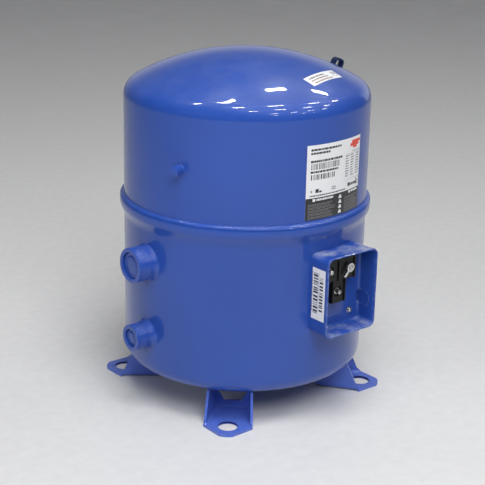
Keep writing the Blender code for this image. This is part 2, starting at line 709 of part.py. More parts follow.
def stator_outline():
    """Round outside, and a bore with evenly spaced winding slots."""
    outside = arc(0.0, 0.0, STATOR_RADIUS, 0.0, 2 * pi, ROUND_STEPS)[:-1]
    bore = []
    pitch = 2 * pi / STATOR_SLOTS
    for slot in range(STATOR_SLOTS):
        for offset, radius in ((-0.30, STATOR_BORE), (-0.20, 0.088), (0.20, 0.088),
                               (0.30, STATOR_BORE)):
            angle = (slot + offset) * pitch
            bore.append((radius * cos(angle), radius * sin(angle)))
    return outside, bore


def make_motor():
    outside, bore = stator_outline()
    as_part(prism(outside, STATOR_LOW, STATOR_HIGH, holes=[bore]), "stator_core", "steel")
    for name, low, high in (("lower", 0.2150, STATOR_LOW - GAP),
                            ("upper", STATOR_HIGH + GAP, 0.4300)):
        soft = 0.006
        coil = turned([(0.072, high), (0.108 - soft, high), (0.108, high - soft),
                       (0.108, low + soft), (0.108 - soft, low), (0.072, low)], ring=True)
        as_part(coil, "stator_winding_" + name, "copper")
    bore = JOURNAL_RADIUS + GAP
    rotor = turned([(0.044, 0.4100), (0.062, 0.4100), (0.062, 0.4000), (ROTOR_RADIUS, 0.4000),
                    (ROTOR_RADIUS, 0.2400), (0.062, 0.2400), (0.062, 0.2295),
                    (0.044, 0.2295), (0.044, 0.2400), (bore, 0.2400), (bore, 0.4000),
                    (0.044, 0.4000)], ring=True)
    half_ring = [*arc(0.0, 0.0, 0.0600, pi / 2, 3 * pi / 2, 10),
                 *arc(0.0, 0.0, 0.0460, 3 * pi / 2, pi / 2, 10)]
    counterweight = prism(half_ring, 0.2160, 0.2305)
    as_part(shaped(rotor, add=[counterweight]), "rotor", "steel")
    flange = SHELL_RADIUS - SHELL_WALL - GAP
    support = turned([(0.120, STATOR_LOW - GAP), (0.120, 0.2137), (flange, 0.2137),
                      (flange, BLOCK_TOP + GAP), (0.050, BLOCK_TOP + GAP), (0.050, 0.2135),
                      (0.113, 0.2135), (0.113, STATOR_LOW - GAP)], ring=True)
    notch = box((-0.020, -0.20, 0.20), (0.036, -0.148, 0.22))
    as_part(shaped(support, cut=[notch]), "motor_support", "cast_iron")
    route = [Vector(point) for point in
             ((0.008, -0.1085 + 0.018, 0.4365), (0.008, -0.108, 0.4440),
              (0.008, -0.134, 0.4200), (0.008, -0.143, 0.3400), (0.008, -0.143, 0.2600),
              (0.008, -0.149, 0.2230), (0.008, -0.1650, TERMINAL_HEIGHT))]
    as_part(tube(smooth_route(route, 2), 0.005), "motor_leads", "insulation")


def build():
    make_lower_shell()
    make_upper_shell()
    make_seam_weld()
    make_feet()
    make_suction_port()
    make_discharge_port()
    make_sight_glass()
    make_equalising_port()
    make_gauge_valve()
    make_lifting_eye()
    make_terminal_box()
    make_terminals()
    make_labels()
    make_cylinder_block()
    make_crank()
    make_pump()
    make_discharge_pipe()
    make_motor()


build()
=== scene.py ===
import json
import bpy
import bmesh
import numpy as np
from mathutils import Matrix, Vector


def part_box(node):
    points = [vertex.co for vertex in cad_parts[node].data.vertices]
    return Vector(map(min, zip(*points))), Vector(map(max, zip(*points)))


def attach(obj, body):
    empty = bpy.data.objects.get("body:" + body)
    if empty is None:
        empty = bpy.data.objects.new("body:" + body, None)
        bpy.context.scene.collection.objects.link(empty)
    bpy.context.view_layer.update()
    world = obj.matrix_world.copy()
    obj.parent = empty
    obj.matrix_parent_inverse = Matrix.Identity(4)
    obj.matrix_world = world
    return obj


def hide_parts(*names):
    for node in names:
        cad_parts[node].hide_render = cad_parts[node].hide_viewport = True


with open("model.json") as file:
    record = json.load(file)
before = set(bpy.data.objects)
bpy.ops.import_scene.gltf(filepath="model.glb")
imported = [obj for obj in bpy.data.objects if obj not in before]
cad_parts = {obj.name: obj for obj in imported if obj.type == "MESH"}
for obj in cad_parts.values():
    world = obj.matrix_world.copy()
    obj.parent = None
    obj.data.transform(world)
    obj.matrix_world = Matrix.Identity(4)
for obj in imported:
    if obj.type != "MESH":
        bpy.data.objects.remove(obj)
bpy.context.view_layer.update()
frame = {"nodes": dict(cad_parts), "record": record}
bodyName = "shell"  # everything outside the pump rides on the welded shell
tau = 2 * np.pi
mergeDistance = 2e-7


def meshPiece(name, verts, faces, sharp=34.0):
    # One object at the origin; doubles merged, faces turned outwards, smooth with sharp creases.
    mesh = bpy.data.meshes.new(name)
    mesh.from_pydata(verts.tolist(), [], faces.tolist())
    work = bmesh.new()
    work.from_mesh(mesh)
    bmesh.ops.remove_doubles(work, verts=work.verts, dist=mergeDistance)
    bmesh.ops.dissolve_degenerate(work, edges=work.edges, dist=mergeDistance)
    if work.calc_volume(signed=True) < 0:
        bmesh.ops.reverse_faces(work, faces=work.faces)
    work.to_mesh(mesh)
    work.free()
    mesh.shade_smooth()
    mesh.set_sharp_from_angle(angle=np.radians(sharp))
    obj = bpy.data.objects.new(name, mesh)
    bpy.context.scene.collection.objects.link(obj)
    return obj


def gridFaces(nu, nv, wrapU, wrapV):
    # Quads of an nu by nv grid of points, joined end to end where it wraps.
    u = np.arange(nu if wrapU else nu - 1)
    v = np.arange(nv if wrapV else nv - 1)
    a, b = np.meshgrid(u, v, indexing="ij")
    c, d = (a + 1) % nu, (b + 1) % nv
    return np.stack([a * nv + b, c * nv + b, c * nv + d, a * nv + d], -1).reshape(-1, 4)


def gridPiece(name, points, wrapU=False, wrapV=False, **rest):
    # points is an array (u, v, xyz).
    nu, nv = points.shape[:2]
    return meshPiece(name, points.reshape(-1, 3), gridFaces(nu, nv, wrapU, wrapV), **rest)


def revolve(name, profile, steps=96, matrix=None, wrap=True, **rest):
    # A (radius, height) profile turned about Z: x = r cos a, y = r sin a, z = h.
    angle = np.linspace(0, tau, steps, endpoint=False)[:, None]
    r, h = profile[:, 0][None], profile[:, 1][None]
    points = np.stack([r * np.cos(angle), r * np.sin(angle), h + 0 * angle], -1)
    if matrix is not None:
        points = moved(points, matrix)
    return gridPiece(name, points, wrapU=True, wrapV=wrap, **rest)


def moved(points, matrix):
    m = np.array(matrix)
    return points @ m[:3, :3].T + m[:3, 3]


def arcLine(cx, cy, radius, start, end, steps):
    # Points of an arc, angles in degrees.
    a = np.radians(np.linspace(start, end, steps))
    return np.stack([cx + radius * np.cos(a), cy + radius * np.sin(a)], -1)


def line(*points, steps=1):
    # Straight runs between points, each divided into steps.
    p = np.array(points, float)
    t = np.linspace(0, 1, steps, endpoint=False)[None, :, None]
    runs = p[:-1, None] * (1 - t) + p[1:, None] * t
    return np.concatenate([runs.reshape(-1, p.shape[1]), p[-1:]])


def facing(degrees, height=0.0):
    # Local Z points out of the shell; degrees run from -Y towards +X.
    a = np.radians(degrees)
    out = Vector((np.sin(a), -np.cos(a), 0))
    across = Vector((0, 0, 1)).cross(out)
    m = Matrix((across, out.cross(across), out)).transposed().to_4x4()
    return Matrix.Translation((0, 0, height)) @ m


def roundedBox(name, low, high, radius, steps=4, matrix=None):
    # Box plus ball: centre + sign(n) (half - radius) + radius n over all directions n.
    low, high = np.array(low), np.array(high)
    core = (high - low) / 2 - radius
    quarter = np.linspace(0, np.pi / 2, steps)
    phi = np.concatenate([quarter + k * np.pi / 2 for k in range(4)])
    signX = np.repeat([1, -1, -1, 1], steps)
    signY = np.repeat([1, 1, -1, -1], steps)
    polar = np.concatenate([quarter, quarter + np.pi / 2])
    signZ = np.repeat([1, -1], steps)
    sp, cp = np.sin(polar)[:, None], np.cos(polar)[:, None]
    x = core[0] * signX[None] + radius * sp * np.cos(phi)[None]
    y = core[1] * signY[None] + radius * sp * np.sin(phi)[None]
    z = core[2] * signZ[:, None] + radius * cp + 0 * phi[None]
    rows = np.stack([x, y, z], -1)
    top = np.zeros((1, phi.size, 3)) + [0, 0, core[2] + radius]
    points = np.concatenate([top, rows, -top]) + (low + high) / 2
    if matrix is not None:
        points = moved(points, matrix)
    return gridPiece(name, points, wrapV=True)


def sweep(name, path, side, section, **rest):
    # A closed section carried along a path; its first axis is side, and both ends are closed.
    path = np.asarray(path, float)
    tangent = np.gradient(path, axis=0)
    tangent /= np.linalg.norm(tangent, axis=1)[:, None]
    side = np.broadcast_to(np.asarray(side, float), path.shape)
    up = np.cross(tangent, side)
    up /= np.linalg.norm(up, axis=1)[:, None]
    side = np.cross(up, tangent)
    points = path[:, None] + section[None, :, :1] * side[:, None] + section[None, :, 1:] * up[:, None]
    first = np.repeat(points[:1].mean(1, keepdims=True), section.shape[0], 1)
    last = np.repeat(points[-1:].mean(1, keepdims=True), section.shape[0], 1)
    return gridPiece(name, np.concatenate([first, points, last]), wrapV=True, **rest)


def roundedSection(halfX, halfY, radius, steps=4):
    # Closed outline of a rectangle with round corners, around the origin.
    corners = [(halfX, halfY, 0), (-halfX, halfY, 90), (-halfX, -halfY, 180), (halfX, -halfY, 270)]
    return np.concatenate([arcLine(np.sign(x) * (halfX - radius), np.sign(y) * (halfY - radius),
                                   radius, a, a + 90, steps) for x, y, a in corners])


def fused(name, base, add=(), cut=(), bevel=0.0, sharp=34.0):
    # Boolean join and cut of shapes, with an optional rounded edge, as one plain mesh.
    for tools, operation in ((add, "UNION"), (cut, "DIFFERENCE")):
        for tool in tools:
            modifier = base.modifiers.new(operation, "BOOLEAN")
            modifier.operation = operation
            modifier.solver = "EXACT"
            modifier.object = tool
    if bevel:
        modifier = base.modifiers.new("edge", "BEVEL")
        modifier.width = bevel
        modifier.segments = 2
        modifier.limit_method = "ANGLE"
        modifier.angle_limit = np.radians(40)
        modifier.use_clamp_overlap = True
    bpy.context.view_layer.update()
    graph = bpy.context.evaluated_depsgraph_get()
    mesh = bpy.data.meshes.new_from_object(base.evaluated_get(graph))
    mesh.name = name
    mesh.materials.clear()
    for tool in (*add, *cut, base):
        bpy.data.objects.remove(tool)
    mesh.shade_smooth()
    mesh.set_sharp_from_angle(angle=np.radians(sharp))
    obj = bpy.data.objects.new(name, mesh)
    bpy.context.scene.collection.objects.link(obj)
    return obj


def ready(obj, material, slot, *nodes):
    # Give a piece its material and its body, and hide the nodes that it stands for; the slot is not used.
    obj.data.materials.clear()
    obj.data.materials.append(material)
    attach(obj, bodyName)
    if nodes:
        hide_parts(*nodes)
    return obj


class Nodes:
    # Short names for building one material.
    def __init__(self, name):
        self.material = bpy.data.materials.new(name)
        self.material.use_nodes = True
        self.tree = self.material.node_tree
        self.shader = self.tree.nodes["Principled BSDF"]
        self.place = self.add("ShaderNodeTexCoord").outputs["Object"]

    def add(self, kind, **values):
        node = self.tree.nodes.new(kind)
        for key, value in values.items():
            setattr(node, key, value)
        return node

    def put(self, socket, value):
        if isinstance(value, bpy.types.NodeSocket):
            self.tree.links.new(value, socket)
        else:
            socket.default_value = value

    def noise(self, scale, detail=2.0, rough=0.5, stretch=None):
        node = self.add("ShaderNodeTexNoise")
        place = self.place
        if stretch:
            mapping = self.add("ShaderNodeMapping")
            self.put(mapping.inputs["Vector"], place)
            mapping.inputs["Scale"].default_value = stretch
            place = mapping.outputs[0]
        self.put(node.inputs["Vector"], place)
        self.put(node.inputs["Scale"], scale)
        self.put(node.inputs["Detail"], detail)
        self.put(node.inputs["Roughness"], rough)
        return node.outputs["Fac"]

    def span(self, value, low, high, outLow=0.0, outHigh=1.0):
        node = self.add("ShaderNodeMapRange")
        for key, number in zip(("Value", "From Min", "From Max", "To Min", "To Max"),
                               (value, low, high, outLow, outHigh)):
            self.put(node.inputs[key], number)
        return node.outputs[0]

    def maths(self, operation, a, b=0.0):
        node = self.add("ShaderNodeMath", operation=operation)
        self.put(node.inputs[0], a)
        self.put(node.inputs[1], b)
        return node.outputs[0]

    def mix(self, factor, a, b):
        node = self.add("ShaderNodeMix", data_type="RGBA")
        self.put(node.inputs[0], factor)
        for socket, value in zip((node.inputs[6], node.inputs[7]), (a, b)):
            self.put(socket, value if isinstance(value, bpy.types.NodeSocket) else (*value, 1.0))
        return node.outputs[2]

    def bump(self, height, distance, strength=1.0, before=None):
        node = self.add("ShaderNodeBump")
        self.put(node.inputs["Height"], height)
        self.put(node.inputs["Distance"], distance)
        self.put(node.inputs["Strength"], strength)
        if before is not None:
            self.put(node.inputs["Normal"], before)
        return node.outputs[0]

    def facingUp(self):
        node = self.add("ShaderNodeSeparateXYZ")
        self.put(node.inputs[0], self.add("ShaderNodeNewGeometry").outputs["Normal"])
        return node.outputs["Z"]

    def attribute(self, name):
        node = self.add("ShaderNodeAttribute")
        node.attribute_name = name
        return node

    def finish(self, **values):
        for key, value in values.items():
            socket = self.shader.inputs[key.replace("_", " ")]
            isColour = isinstance(value, tuple) and len(value) == 3
            self.put(socket, (*value, 1.0) if isColour else value)
        return self.material


def enamel(name, colour, wear=1.0, rough=0.30, coat=0.7, dust=0.07):
    # Baked paint: faint tone changes, orange peel, a lighter mix on upward faces that is dust at the default
    # amount and a painted highlight at the terminal box's large amount, thin paint on worn edges.
    n = Nodes(name)
    tone = n.span(n.noise(5.0, 4.0), 0.3, 0.7)
    dark = tuple(c * 0.92 for c in colour)
    light = tuple(min(1.0, c * 1.07 + 0.001) for c in colour)
    base = n.mix(tone, dark, light)
    patches = n.span(n.noise(38.0, 6.0, 0.65), 0.40, 0.72)
    # Upward faces lightened in patches: dust, and on the terminal box a painted highlight.
    dustAndSheenField = n.maths("MULTIPLY", n.span(n.facingUp(), 0.35, 1.0), patches)
    base = n.mix(n.maths("MULTIPLY", dustAndSheenField, dust), base, (0.40, 0.43, 0.52))
    worn = n.span(n.attribute("wear").outputs["Fac"], 0.2, 0.9)
    thin = n.maths("MULTIPLY", worn, n.span(n.noise(110.0, 5.0, 0.7), 0.44, 0.66))
    thin = n.maths("MULTIPLY", thin, 0.35 * wear)
    base = n.mix(thin, base, (0.22, 0.27, 0.50))
    roughness = n.span(n.noise(40.0, 2.0), 0.2, 0.8, rough - 0.03, rough + 0.05)
    roughness = n.maths("ADD", roughness, n.maths("MULTIPLY", dustAndSheenField, 0.10))
    wave = n.bump(n.noise(11.0, 1.0), 0.0012, 0.22)
    peel = n.bump(n.noise(260.0, 1.0), 0.00004, 0.35, wave)
    return n.finish(Base_Color=base, Roughness=roughness, Normal=peel, Coat_Weight=coat,
                    Coat_Roughness=0.015, IOR=1.5, Specular_IOR_Level=0.18)


def metal(name, colour, rough=0.32, grain=(1, 1, 1), scale=180.0, stain=(0.25, 0.22, 0.18), amount=0.25):
    # Worked metal: directional grain, patches of tarnish, fine scratches.
    n = Nodes(name)
    lines = n.noise(scale, 5.0, 0.6, stretch=grain)
    patch = n.span(n.noise(22.0, 5.0, 0.6), 0.45, 0.75)
    base = n.mix(lines, tuple(c * 0.82 for c in colour), colour)
    base = n.mix(n.maths("MULTIPLY", patch, amount), base, stain)
    roughness = n.maths("ADD", n.span(lines, 0.2, 0.8, rough - 0.07, rough + 0.09),
                        n.maths("MULTIPLY", patch, 0.12))
    return n.finish(Base_Color=base, Metallic=1.0, Roughness=roughness,
                    Normal=n.bump(lines, 0.00008, 0.5))


def moulding(name, colour, rough=0.42, scale=420.0):
    # Moulded plastic or varnished fibre: fine grain, slight mottling, dust on top.
    n = Nodes(name)
    grain = n.noise(scale, 3.0)
    mottle = n.span(n.noise(30.0, 4.0), 0.3, 0.7)
    base = n.mix(mottle, tuple(c * 0.8 for c in colour), tuple(c * 1.15 + 0.001 for c in colour))
    dust = n.maths("MULTIPLY", n.span(n.facingUp(), 0.2, 1.0), n.span(n.noise(60.0, 5.0), 0.4, 0.7))
    base = n.mix(n.maths("MULTIPLY", dust, 0.05), base, (0.30, 0.29, 0.28))
    return n.finish(Base_Color=base, Roughness=n.span(grain, 0.2, 0.8, rough - 0.06, rough + 0.08),
                    Normal=n.bump(grain, 0.00005, 0.5), Specular_IOR_Level=0.3)


def printedFilm(name):
    # Label film: the ink comes with the mesh, over it a light texture and soft dirt.
    n = Nodes(name)
    ink = n.attribute("ink").outputs["Color"]
    dirt = n.maths("MULTIPLY", n.span(n.noise(45.0, 5.0), 0.5, 0.8), 0.05)
    base = n.mix(dirt, ink, (0.45, 0.43, 0.40))
    return n.finish(Base_Color=base, Roughness=n.span(n.noise(500.0, 2.0), 0.2, 0.8, 0.30, 0.42),
                    Normal=n.bump(n.noise(60.0, 2.0), 0.00012, 0.35), Coat_Weight=0.15,
                    Coat_Roughness=0.2)


blueColour = (0.022, 0.074, 0.370)
blueEnamel = enamel("blueEnamel", blueColour)
# Terminal box: the upward-face mix at 0.95 is a painted highlight on the box's top faces, with a little real
# dust in it.
boxEnamel = enamel("boxEnamel", blueColour, wear=1.6, dust=0.95)
# The feet carry the shell's blue paint; their lighter colour is painted light, standing in for the light on
# the foot plates.
paintedLightFootEnamel = enamel("paintedLightFootEnamel", (0.078, 0.148, 0.580))
# Very dark navy for the lifting eye, far darker than the shell's blue.
darkEnamel = enamel("darkEnamel", (0.008, 0.016, 0.060), coat=0.4)
blackMoulding = moulding("blackMoulding", (0.006, 0.006, 0.0065), 0.36)
zincPlate = metal("zincPlate", (0.72, 0.72, 0.70), 0.26, (1, 1, 6), 220.0)
brassMetal = metal("brassMetal", (0.72, 0.52, 0.22), 0.26, (1, 1, 4), 160.0, (0.28, 0.18, 0.08))
copperMetal = metal("copperMetal", (0.72, 0.36, 0.20), 0.30, (1, 1, 8), 260.0, (0.30, 0.12, 0.06))
steelMetal = metal("steelMetal", (0.52, 0.52, 0.53), 0.30, (1, 1, 12), 200.0)
laminations = metal("laminations", (0.36, 0.37, 0.39), 0.42, (0.05, 0.05, 1), 900.0)
castIron = metal("castIron", (0.20, 0.20, 0.205), 0.58, (1, 1, 1), 300.0, (0.16, 0.10, 0.06))
castAluminium = metal("castAluminium", (0.74, 0.75, 0.76), 0.36, (1, 1, 1), 240.0)
bearingBronze = metal("bearingBronze", (0.66, 0.44, 0.20), 0.34, (1, 1, 1), 200.0)
leadSleeve = moulding("leadSleeve", (0.62, 0.20, 0.08), 0.6, 900.0)
labelFilm = printedFilm("labelFilm")


def lensGlass():
    # Clear glass with a slight tint that changes from place to place.
    n = Nodes("lensGlass")
    tint = n.mix(n.span(n.noise(90.0, 3.0), 0.3, 0.7), (0.42, 0.55, 0.50), (0.60, 0.68, 0.62))
    return n.finish(Base_Color=tint, Roughness=n.span(n.noise(60.0, 3.0), 0.2, 0.8, 0.03, 0.09),
                    Transmission_Weight=0.75, IOR=1.5, Coat_Weight=0.4, Coat_Roughness=0.03)


sightGlass = lensGlass()
print("materials made")


upperLow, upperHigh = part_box("upper_shell")
lowerLow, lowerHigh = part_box("lower_shell")
shellRadius = upperHigh.x
domeTop = upperHigh.z
shellSpec = dict(wall=0.004, crown=0.332, knuckle=0.026, around=288, skirtEnd=upperLow.z,
                 bottom=lowerLow.z, corner=0.020, mouthTop=lowerHigh.z, mouthRadius=lowerHigh.x)


def domeLine(inset, crownSteps, knuckleSteps):
    # Crown arc from the axis outwards, then the knuckle arc down to the side.
    s = shellSpec
    centre = domeTop - s["crown"]
    middle = shellRadius - s["knuckle"]
    rise = np.sqrt((s["crown"] - s["knuckle"]) ** 2 - middle ** 2)
    meet = np.degrees(np.arctan2(middle, rise))
    crown = arcLine(0, centre, s["crown"] - inset, 90, 90 - meet, crownSteps)
    knuckle = arcLine(middle, centre + rise, s["knuckle"] - inset, 90 - meet, 0, knuckleSteps)
    crown[0, 0] = 0
    return np.concatenate([crown, knuckle[1:]])


def domeHeight(r):
    # Height of the crown's sphere at a distance r from the axis.
    centre = domeTop - shellSpec["crown"]
    return centre + np.sqrt(shellSpec["crown"] ** 2 - np.asarray(r) ** 2)


def makeUpperShell():
    # Turned skin: dome outside, straight side, then the same line back inside, one wall in.
    s = shellSpec
    outer = domeLine(0, 40, 22)
    inner = domeLine(s["wall"], 16, 8)[::-1]
    side = line(outer[-1], (shellRadius, s["skirtEnd"]), steps=16)[1:]
    inside = line((shellRadius - s["wall"], s["skirtEnd"]), inner[0], steps=2)[:-1]
    profile = np.concatenate([outer, side, inside, inner])
    piece = revolve("upperShellSkin", profile, s["around"], wrap=False)
    return ready(piece, blueEnamel, "blue_enamel", "upper_shell")


def makeLowerShell():
    # Turned skin: pan inside, the socket that takes the upper shell, flared lip, side, corner, floor.
    s = shellSpec
    inside = shellRadius - s["wall"]
    z0, mouth = s["bottom"], s["mouthRadius"]
    middle = shellRadius - s["corner"]
    pan = line((0, z0 + s["wall"]), (middle, z0 + s["wall"]), steps=6)
    pan = np.concatenate([pan, arcLine(middle, z0 + s["corner"], s["corner"] - s["wall"], -90, 0, 8)[1:]])
    socket = [(inside, 0.2735), (shellRadius + 0.0003, 0.2752), (shellRadius + 0.0003, s["mouthTop"])]
    lip = [(mouth - 0.0016, s["mouthTop"]), (mouth - 0.0006, s["mouthTop"] - 0.0006),
           (mouth - 0.0001, s["mouthTop"] - 0.0022), (mouth, s["mouthTop"] - 0.0050),
           (mouth - 0.0001, 0.2835), (mouth - 0.0005, 0.2805), (mouth - 0.0012, 0.2783),
           (mouth - 0.0020, 0.2768), (mouth - 0.0026, 0.2757), (mouth - 0.0031, 0.2744),
           (mouth - 0.0041, 0.2720), (mouth - 0.0052, 0.2688), (mouth - 0.0058, 0.2660),
           (shellRadius, 0.2630)]
    side = line((shellRadius, 0.2600), (shellRadius, z0 + s["corner"]), steps=18)
    corner = arcLine(middle, z0 + s["corner"], s["corner"], 0, -90, 14)[1:]
    floor = line((middle, z0), (0, z0), steps=6)[1:]
    profile = np.concatenate([pan, socket, lip, side, corner, floor])
    piece = revolve("lowerShellSkin", profile, s["around"], wrap=False)
    return ready(piece, blueEnamel, "blue_enamel", "lower_shell")


weldSpec = dict(inner=shellRadius + 0.0002, outer=0.1817, low=lowerHigh.z + 0.0001, rise=0.0046,
                pitch=0.0042, ripple=0.00030, sag=0.00035)


def makeSeamWeld():
    # Fillet bead: a bulged slope from the upper shell to the lip, with overlapping ripples.
    w = weldSpec
    count = int(tau * shellRadius / w["pitch"])
    angle = np.linspace(0, tau, count * 6, endpoint=False)[:, None]
    t = np.linspace(0, 1, 9)[None]
    phase = angle * count / tau - 0.55 * t ** 2
    saw = 1 - (phase % 1) ** 0.7
    wander = np.sin(3 * angle) * 0.5 + np.sin(11 * angle + 1.3) * 0.3 + np.sin(29 * angle) * 0.2
    bulge = np.sin(np.pi * t) * (0.0008 + w["ripple"] * saw + w["sag"] * wander * 0.5)
    r = w["inner"] + (w["outer"] - w["inner"]) * t + bulge * 0.6
    z = w["low"] + (w["rise"] + w["sag"] * wander) * (1 - t) ** 1.15 + bulge
    z = np.maximum(z, w["low"] + 0.00005)
    top = np.stack([r * np.cos(angle), r * np.sin(angle), z], -1)
    base = np.stack([r[:, ::-1] * np.cos(angle), r[:, ::-1] * np.sin(angle), w["low"] + 0 * r], -1)
    base = base[:, [2, 6]]
    piece = gridPiece("seamWeldBead", np.concatenate([top, base], 1), True, True, sharp=60)
    return ready(piece, blueEnamel, "blue_enamel", "seam_weld")


makeUpperShell()
makeLowerShell()
makeSeamWeld()
print("shell made")


footSpec = dict(halfWidth=0.035, rearHalf=0.027, sheet=0.0034, bend=0.0078, side=0.180, tip=0.208,
                nose=0.0080, rear=0.116, flangeTop=0.1595, top=lowerLow.z - 0.0003, upstand=0.0135,
                corner=0.030, hole=0.014, holeCircle=0.181)


def footBlank():
    # Outer face of the pressing. Each row is a blank bent round: w is the distance along the sheet
    # from its middle line, flat to the bend, then an arc of the bend radius, then upright.
    f = footSpec
    u = np.concatenate([np.linspace(f["rear"], f["flangeTop"], 12)[:-1],
                        np.linspace(f["flangeTop"], f["side"], 26)[:-1],
                        np.linspace(f["side"], f["tip"], 18)])
    back = np.clip((u - f["rear"]) / (f["side"] - f["rear"]), 0, 1)
    half = f["rearHalf"] + (f["halfWidth"] - f["rearHalf"]) * back
    ahead = np.clip((u - f["side"]) / (f["tip"] - f["side"]), 0, 1)
    tip = np.sqrt(np.clip(1 - np.clip((ahead - 0.93) / 0.07, 0, 1) ** 2 * 0.8, 0, 1))
    half = np.where(u > f["side"], (f["halfWidth"] + (f["nose"] - f["halfWidth"]) * ahead) * tip, half)
    rise = np.clip((f["side"] - 0.0006 - u) / (f["side"] - f["flangeTop"]), 0, 1)
    height = (f["top"] + 0.0008) * rise - 0.0008 * np.clip((f["flangeTop"] - u) / 0.006, 0, 1)
    bend = f["bend"]
    flat = half - bend
    lean = np.arccos(np.clip(1 - height / bend, 0, 1))
    width = flat + bend * lean + np.clip(height - bend, 0, None)
    width = np.where(u >= f["side"] - 0.0006, half, np.maximum(width, np.minimum(half, flat + bend)))
    s = np.concatenate([np.linspace(-1, -0.25, 34), np.linspace(-0.25, 0.25, 7)[1:-1],
                        np.linspace(0.25, 1, 34)])
    w = s[None] * width[:, None]
    flat = flat[:, None]
    a = np.clip((np.abs(w) - flat) / bend, 0, np.pi / 2)
    past = np.clip(np.abs(w) - flat - bend * np.pi / 2, 0, None)
    v = np.sign(w) * (np.minimum(np.abs(w), flat) + bend * np.sin(a))
    z = bend * (1 - np.cos(a)) + past
    level = np.clip((u - f["side"] + 0.0040) / 0.0045, 0, 1)[:, None]
    level = level * level * (3 - 2 * level)
    return np.stack([u[:, None] + 0 * w, v + (w - v) * level, z * (1 - level)], -1)


def sheetFaces(nu, nv):
    # Lower grid turned over, upper grid, then a wall round all four rims.
    faces = gridFaces(nu, nv, False, False)
    offset = nu * nv
    index = np.arange(offset).reshape(nu, nv)
    rim = np.concatenate([index[:, 0], index[-1, 1:], index[-2::-1, -1], index[0, -2:0:-1]])
    after = np.roll(rim, -1)
    walls = np.stack([rim, after, after + offset, rim + offset], -1)
    return np.concatenate([faces[:, ::-1], faces + offset, walls[:, ::-1]])


def thickened(name, points, thickness):
    # Give a grid of points a sheet thickness on its upper side; all four rims are closed.
    du = np.gradient(points, axis=0)
    dv = np.gradient(points, axis=1)
    normal = np.cross(du, dv)
    normal /= np.linalg.norm(normal, axis=2)[..., None] + 1e-12
    upper = points + normal * thickness
    nu, nv = points.shape[:2]
    verts = np.concatenate([points.reshape(-1, 3), upper.reshape(-1, 3)])
    return meshPiece(name, verts, sheetFaces(nu, nv))


def footUpstand():
    # Rear upstand: the plate turns up, low in the middle and rising in a curve to both flanges.
    f = footSpec
    edge = f["rearHalf"] - 0.0012
    v = np.linspace(-edge, edge, 41)
    near = np.clip((np.abs(v) - edge + 0.015) / 0.013, 0, 1)
    height = f["upstand"] + (f["corner"] - f["upstand"]) * near ** 2 * (3 - 2 * near)
    r = 0.0065
    curve = arcLine(f["rear"] + r, r, r, 270, 180, 8)
    start = np.array([[f["rear"] + 0.016, 0.0], [f["rear"] + 0.011, 0.0]])
    t = np.linspace(0, 1, 6)[1:]
    path = np.concatenate([start, curve])
    lower = np.repeat(path[:, None], v.size, 1)
    upper = np.stack([np.full((5, v.size), f["rear"]), r + (height[None] - r) * t[:, None]], -1)
    path = np.concatenate([lower, upper])
    grid = np.stack([path[..., 0], 0 * path[..., 0] + v[None], path[..., 1]], -1)
    return thickened("upstand", grid[::-1], f["sheet"])


def footMesh():
    # Channel, rear upstand and bolt hole in one piece, edges rounded.
    f = footSpec
    channel = thickened("channel", footBlank(), f["sheet"])
    hole = revolve("hole", np.array([(0, -0.02), (f["hole"], -0.02), (f["hole"], 0.03), (0, 0.03)]), 64,
                   Matrix.Translation((f["holeCircle"], 0, 0)), wrap=False)
    return fused("foot", channel, add=[footUpstand()], cut=[hole], bevel=0.0005, sharp=40)


def markWear(obj, field):
    # Store how much each point is worn; field is a function of the points.
    co = np.empty(len(obj.data.vertices) * 3)
    obj.data.vertices.foreach_get("co", co)
    attribute = obj.data.attributes.new("wear", "FLOAT", "POINT")
    attribute.data.foreach_set("value", field(co.reshape(-1, 3)).astype(np.float32))


def makeFeet():
    pattern = footMesh()
    markWear(pattern, lambda p: np.clip((p[:, 0] - 0.170) / 0.036, 0, 1) * (np.abs(p[:, 1]) < 0.036))
    for node, degrees in (("front", 225), ("right", 315), ("back", 45), ("left", 135)):
        foot = pattern.copy()
        foot.data = pattern.data.copy()
        foot.name = "foot" + node.capitalize()
        foot.data.transform(Matrix.Rotation(np.radians(degrees), 4, "Z"))
        bpy.context.scene.collection.objects.link(foot)
        ready(foot, paintedLightFootEnamel, "blue_enamel", "mounting_foot_" + node)
    bpy.data.objects.remove(pattern)


makeFeet()
print("feet made")


def saddle(across):
    # How far the round shell falls back at a sideways distance from a fitting's axis.
    return np.sqrt(shellRadius ** 2 - across ** 2) - shellRadius


